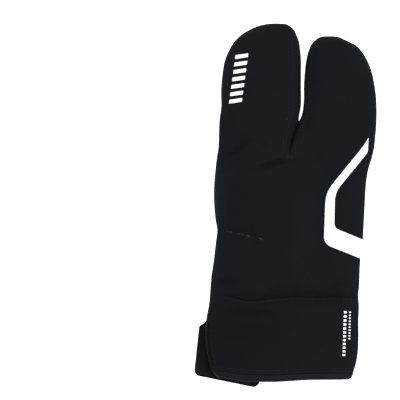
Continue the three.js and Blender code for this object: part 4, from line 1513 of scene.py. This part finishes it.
def laid_on_back(piece, low, high):
    """Moves a flat piece onto the back and gives it a small thickness."""
    flat = np.array([tuple(v.co) for v in piece.data.vertices])
    places = (flat - SHIFT) / MM
    faces = [list(p.vertices) for p in piece.data.polygons]
    outside = on_back(places[:, 0], places[:, 1], high)
    inside = on_back(places[:, 0], places[:, 1], low)
    name = piece.name
    bpy.data.objects.remove(piece)
    made = sewn_panel(name + "_print", outside, inside, faces)
    made.data.materials.append(film_white)
    return made


def flat_line(start, end):
    """Pattern places from shares of the hand, as a line of two points."""
    return [(a * HAND_WIDTH, WRIST_Y + b * HAND_LENGTH, 0.0) for a, b in (start, end)]


marks = []
for name, line_start, line_end, pitch, long, wide, slant, print_height in MARKS:
    one_dash = dash("one of " + name, long, wide, slant)
    row_of_dashes = repeated(name, [flat_line(line_start, line_end)], pitch, one_dash, film_white)
    marks.append(laid_on_back(row_of_dashes, PRINT_LOW, print_height))
    bpy.data.objects.remove(one_dash)

# %% [markdown]
# ## The tape round the slit, the tab and its patch
# The raw edge of the slit is bound with a narrow woven tape, which is a little darker than the softshell.
# The closing tab is stiff coated webbing. It leaves the slit, lies on the table and looks out beside the
# cuff and below the hem. The patch of hooks lies on it, under the cuff.

# %% Binding tape
BINDING_RAISE = 0.35
BINDING_COLUMNS = 9

binding_y = stations(SLIT_FROM, SLIT_TO, STEP)[:, None]
binding_outer = half_at(INDEX, binding_y)[0]
binding_shares = np.linspace(0, 1, BINDING_COLUMNS)[None, :]
binding_x = binding_outer + BINDING_WIDTH * binding_share(binding_y) * binding_shares
binding_y = np.broadcast_to(binding_y, binding_x.shape)
outer, inner, _, _ = half_at(INDEX, binding_y)
binding_part = (binding_x - outer) / (inner - outer)
tape_outside = shell_points(INDEX, binding_part, binding_y, True, 0.0)
tape_inside = shell_points(INDEX, binding_part, binding_y, True, WALL)
tape_outside[..., 2] += BINDING_RAISE * np.sin(np.pi * binding_shares) ** 0.5 * binding_share(binding_y)
tape_outside = tucked(tape_outside, INDEX, True, binding_y)
tape_inside = tucked(tape_inside, INDEX, True, binding_y)
binding = sewn_panel("binding_tape", *stacked([(tape_outside, tape_inside, False)]))

# %% A plate with a rounded outline
PLATE_CUTS = 11
WAVE_ACROSS, WAVE_ALONG, WAVE_START = 0.16, 0.13, 0.6
WAVE_BELOW = 0.3


def plate(name, outline, low, high, soften, sag=0.0):
    """A plate with an outline of pattern places, rounded edges and a slight wave."""
    mesh = bmesh.new()
    corners = [mesh.verts.new((x, y, 0.0)) for x, y in outline]
    mesh.faces.new(corners)
    bmesh.ops.triangulate(mesh, faces=mesh.faces)
    bmesh.ops.subdivide_edges(mesh, edges=mesh.edges, cuts=PLATE_CUTS, use_grid_fill=True)
    bmesh.ops.recalc_face_normals(mesh, faces=mesh.faces)
    if mesh.faces[:][0].normal.z < 0:
        bmesh.ops.reverse_faces(mesh, faces=mesh.faces)
    points = np.array([tuple(v.co) for v in mesh.verts])
    mesh.verts.index_update()
    faces = [[v.index for v in f.verts] for f in mesh.faces]
    rim = np.array([v.is_boundary for v in mesh.verts])
    mesh.free()
    waves = np.sin(points[:, 0] * WAVE_ACROSS) * np.sin(points[:, 1] * WAVE_ALONG + WAVE_START)
    wave = sag * (waves + 1) * 0.5
    upper, lower = points.copy(), points.copy()
    upper[:, 2] = high + wave - soften * rim
    lower[:, 2] = low + soften * rim + wave * WAVE_BELOW
    return sewn_panel(name, upper, lower, faces)


# The largest share of a side that the rounding of a corner takes up
CORNER_LIMIT = 0.45


def softened(corners, radius, turn=6):
    """An outline with its corners rounded."""
    out = []
    for i, corner in enumerate(corners):
        corner = np.array(corner)
        before, after = np.array(corners[i - 1]), np.array(corners[(i + 1) % len(corners)])
        into = corner + (before - corner) * min(CORNER_LIMIT, radius / np.linalg.norm(before - corner))
        out_of = corner + (after - corner) * min(CORNER_LIMIT, radius / np.linalg.norm(after - corner))
        for t in np.linspace(0, 1, turn):
            out.append((1 - t) ** 2 * into + 2 * t * (1 - t) * corner + t * t * out_of)
    return out


# %% Closing tab
# The lower edge hangs lower towards its right end, and the part beside the cuff lies a little further left.
TAB_DROP, DROP_HEIGHT, DROP_FROM, DROP_RUN = 3.4, 20.0, -76.0, 16.0
TAB_SPREAD, SPREAD_FROM, SPREAD_RUN = 0.5, -44.0, 10.0
TAB_CORNER_RADIUS, TAB_EDGE, TAB_WAVE = 2.2, 0.7, 0.25


def tab_corner(along, across):
    x, y = from_tab(along, across)
    left = TAB_SPREAD * ease((SPREAD_FROM - x) / SPREAD_RUN)
    down = TAB_DROP * ease(1 - (y - TAB_CORNER[1]) / DROP_HEIGHT) * ease((x - DROP_FROM) / DROP_RUN)
    return x - left, y - down


tab_corners = [tab_corner(along, across) for along, across in TAB_OUTLINE]
tab_outline = softened(tab_corners, TAB_CORNER_RADIUS)
tab = plate("tab_webbing", tab_outline, 0.0, TAB_THICKNESS, TAB_EDGE, sag=TAB_WAVE)

# %% Hook patch
PATCH_ALONG, PATCH_ACROSS = 0.62, 0.5
PATCH_CORNER_RADIUS, PATCH_EDGE = 1.5, 0.3
HOOK_HEIGHT, HOOK_PITCH, HOOK_ROWS = 0.5, 1.5, 18
HOOK_SIDE_MARGIN, HOOK_END_MARGIN = 0.06, 0.04

half_long, half_wide = 0.5 * PATCH_LENGTH / TAB_LENGTH, 0.5 * PATCH_WIDTH / TAB_WIDTH
patch_box = [
    from_tab(PATCH_ALONG + a * half_long, PATCH_ACROSS + b * half_wide)
    for a, b in ((-1, -1), (1, -1), (1, 1), (-1, 1))
]
patch_low = TAB_THICKNESS + SEAM_GAP
patch_top = patch_low + PATCH_THICKNESS - HOOK_HEIGHT
patch = plate("hook_tape", softened(patch_box, PATCH_CORNER_RADIUS), patch_low, patch_top, PATCH_EDGE)
low_left, low_right, high_right, high_left = (np.array([*corner, patch_top]) for corner in patch_box)
hook_lines = []
for share in np.linspace(HOOK_SIDE_MARGIN, 1 - HOOK_SIDE_MARGIN, HOOK_ROWS):
    start, stop = mix(low_left, low_right, share), mix(high_left, high_right, share)
    hook_lines.append([mix(start, stop, HOOK_END_MARGIN), mix(start, stop, 1 - HOOK_END_MARGIN)])


def small_ball(name, size):
    """A small ball of a given size in mm along x, y and z, for stitches and hooks."""
    ball = bmesh.new()
    bmesh.ops.create_uvsphere(ball, u_segments=6, v_segments=5, radius=0.5)
    upright = Vector((0, 0, 1)).rotation_difference(Vector((1, 0, 0))).to_matrix()
    bmesh.ops.rotate(ball, verts=ball.verts, matrix=upright)
    bmesh.ops.scale(ball, verts=ball.verts, vec=[length * MM for length in size])
    made = small_object(name, np.zeros((0, 3)), [], [])
    ball.to_mesh(made.data)
    ball.free()
    return made


HOOK_LONG, HOOK_WIDE = 0.8, 0.35
hook = small_ball("hook", (HOOK_LONG, HOOK_WIDE, 2 * HOOK_HEIGHT))
hook_field = repeated("hook_field", hook_lines, HOOK_PITCH, hook, hooks)
bpy.data.objects.remove(hook)

# %% [markdown]
# ## Stitches
# A lockstitch shows as a row of short thread loops. One stitch is a small ball, stretched along the seam.
# The same Geometry Nodes tree repeats it along the hem, the wrist seam, the gusset, the slit and the tab.

# %% One stitch and its lines
STITCH_PITCH, STITCH_LONG, STITCH_THICK = 2.9, 2.3, 0.42
STITCH_LIFT, BAR_LIFT, TAB_STITCH_LIFT = 0.05, 0.1, 0.15
# How far each row of stitches lies from its seam or edge, and from the side seams at its ends
HEM_ROWS, HEM_MARGIN = (1.3, 3.6), 1.5
WRIST_ROW, WRIST_MARGIN = 1.3, 1.0
GUSSET_ROW, SLIT_ROW = 1.5, 1.4
BAR_ROWS, BAR_HALF = (0.5, 1.2), 1.7
TAB_ROW_SHARE, TAB_ROW_RADIUS = 0.09, 2.0
stitch = small_ball("stitch", (STITCH_LONG, STITCH_THICK, STITCH_THICK))


def seam_line(side, y_values, offset):
    """A line beside the gusset's seam on the back."""
    y = np.array(y_values, float)
    return on_back(gusset_edge(side, y) + side * offset, y, STITCH_LIFT)


def cross_line(y, margin):
    """A line across the whole back at one y, kept off the side seams."""
    left, right = half_at(INDEX, y)[0] + margin, half_at(RING, y)[0] - margin
    x = np.linspace(left, right, 90)
    return on_back(x, np.full_like(x, y), STITCH_LIFT)


stitch_lines = [cross_line(HEM_WIDTH + above_seam, HEM_MARGIN) for above_seam in HEM_ROWS]
stitch_lines.append(cross_line(WRIST_Y - WRIST_ROW, WRIST_MARGIN))
pocket_y = np.linspace(CROTCH_Y + 3, CROTCH_Y + 0.9 * RING_LENGTH, 70)
stitch_lines += [seam_line(side, pocket_y, GUSSET_ROW) for side in (INDEX, RING)]
bar_x = np.linspace(CROTCH_X - BAR_HALF, CROTCH_X + BAR_HALF, 7)
for above_point in BAR_ROWS:
    stitch_lines.append(on_back(bar_x, np.full_like(bar_x, POINT_Y + above_point), BAR_LIFT))
slit_line_y = np.linspace(SLIT_FROM + BINDING_FADE, SLIT_TO - BINDING_FADE, 30)
slit_line_x = half_at(INDEX, slit_line_y)[0] + BINDING_WIDTH + SEAM_GAP + SLIT_ROW
stitch_lines.append(on_back(slit_line_x, slit_line_y, STITCH_LIFT))
tab_row = [mix(np.array(corner), np.mean(tab_corners, axis=0), TAB_ROW_SHARE) for corner in tab_corners]
tab_line = [(*place, TAB_THICKNESS + TAB_STITCH_LIFT) for place in softened(tab_row, TAB_ROW_RADIUS)]
stitches = repeated("stitches", stitch_lines + [tab_line + tab_line[:1]], STITCH_PITCH, stitch, thread)
bpy.data.objects.remove(stitch)

# %% [markdown]
# ## Light, floor and camera
# The mitten lies on a white light table under large soft lamps, and the camera looks straight down. A long
# lens from far away keeps the outline free of perspective. The picture also has the empty left half of the
# table, because the mitten lies at its right.

# %% Camera
CAMERA_HEIGHT = 2.6
PICTURE_WIDTH = 0.3131
PICTURE_MIDDLE = (-0.0675, 0.0029)
OUTLINE_LEVEL = 0.01
SENSOR = 36.0

camera_data = bpy.data.cameras.new("camera")
camera_data.sensor_width = SENSOR
camera_data.lens = SENSOR * (CAMERA_HEIGHT - OUTLINE_LEVEL) / PICTURE_WIDTH
camera_data.clip_end = 20
camera = bpy.data.objects.new("camera", camera_data)
camera.location = (*PICTURE_MIDDLE, CAMERA_HEIGHT)
bpy.context.scene.collection.objects.link(camera)
bpy.context.scene.camera = camera
print("lens", round(camera_data.lens), "mm")

# %% Floor
FLOOR_SIZE = 8.0
FLOOR_DROP = 0.0002
FLOOR_GLOW = 0.95

half_floor = 0.5 * FLOOR_SIZE
floor_corners = [(x, y, -FLOOR_DROP) for x, y in ((-1, -1), (1, -1), (1, 1), (-1, 1))]
floor = bpy.data.objects.new("light_table", bpy.data.meshes.new("light_table"))
floor.data.from_pydata([(x * half_floor, y * half_floor, z) for x, y, z in floor_corners], [], [(0, 1, 2, 3)])
bpy.context.scene.collection.objects.link(floor)
table_white, _, table_shader = new_material("white light table")
table_shader.inputs["Base Color"].default_value = (0.9, 0.9, 0.9, 1)
table_shader.inputs["Roughness"].default_value = 0.9
table_shader.inputs["Emission Color"].default_value = (1, 1, 1, 1)
table_shader.inputs["Emission Strength"].default_value = FLOOR_GLOW
floor.data.materials.append(table_white)
print("floor", FLOOR_SIZE, "m wide")


# %% Lamps and sky
SOFTBOX_SIZE = 1.1
SKY_STRENGTH = 0.6


def softbox(name, place, power):
    data = bpy.data.lights.new(name, "AREA")
    data.shape = "DISK"
    data.size = SOFTBOX_SIZE
    data.energy = power
    made = bpy.data.objects.new(name, data)
    made.location = place
    toward = Vector((*PICTURE_MIDDLE, 0.0)) - Vector(place)
    made.rotation_euler = toward.to_track_quat("-Z", "Y").to_euler()
    bpy.context.scene.collection.objects.link(made)


softbox("upper softbox", (-0.25, 0.9, 2.3), power=33)
softbox("right softbox", (1.1, -0.4, 1.9), power=26)
world = bpy.data.worlds.new("studio")
world.use_nodes = True
world.node_tree.nodes["Background"].inputs["Color"].default_value = (1, 1, 1, 1)
world.node_tree.nodes["Background"].inputs["Strength"].default_value = SKY_STRENGTH
bpy.context.scene.world = world
bpy.context.scene.view_settings.view_transform = "Standard"

# %% [markdown]
# ## Finish and the frame
# Each piece gets its cloth, has the solid it stands for hidden, and rides on the one body of the mitten.

# %% Dress every piece
DRESSED = [
    (back, softshell, "softshell", "back_panel"),
    (palm, palm_cloth, "palm_cloth", "palm_panel"),
    (gusset, stretch, "gusset_cloth", "finger_gusset"),
    (thumb_upper, palm_cloth, "palm_cloth", "thumb_top"),
    (thumb_lower, palm_cloth, "palm_cloth", "thumb_bottom"),
    (cuff_top, softshell, "softshell", "cuff_back"),
    (cuff_bottom, softshell, "softshell", "cuff_palm"),
    (binding, tape, "binding_cloth", "slit_binding"),
    (hem_top, hem_cloth, "softshell", "hem_back"),
    (hem_bottom, hem_cloth, "softshell", "hem_palm"),
    (tab, webbing, "tab_cloth", "closing_tab"),
    (patch, hooks, "hook_plastic", "hook_and_loop_patch"),
    (stripe, film_white, "reflective_film", "reflective_stripe"),
]
for piece, finish, slot, node in DRESSED:
    piece.data.materials.append(finish)
    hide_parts(node)
    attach(piece, "root")
for mark in marks:
    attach(mark, "root")
for piece, slot in ((stitches, "binding_cloth"), (hook_field, "hook_plastic")):
    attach(piece, "root")
print(len(DRESSED) + len(marks) + 2, "pieces are dressed")
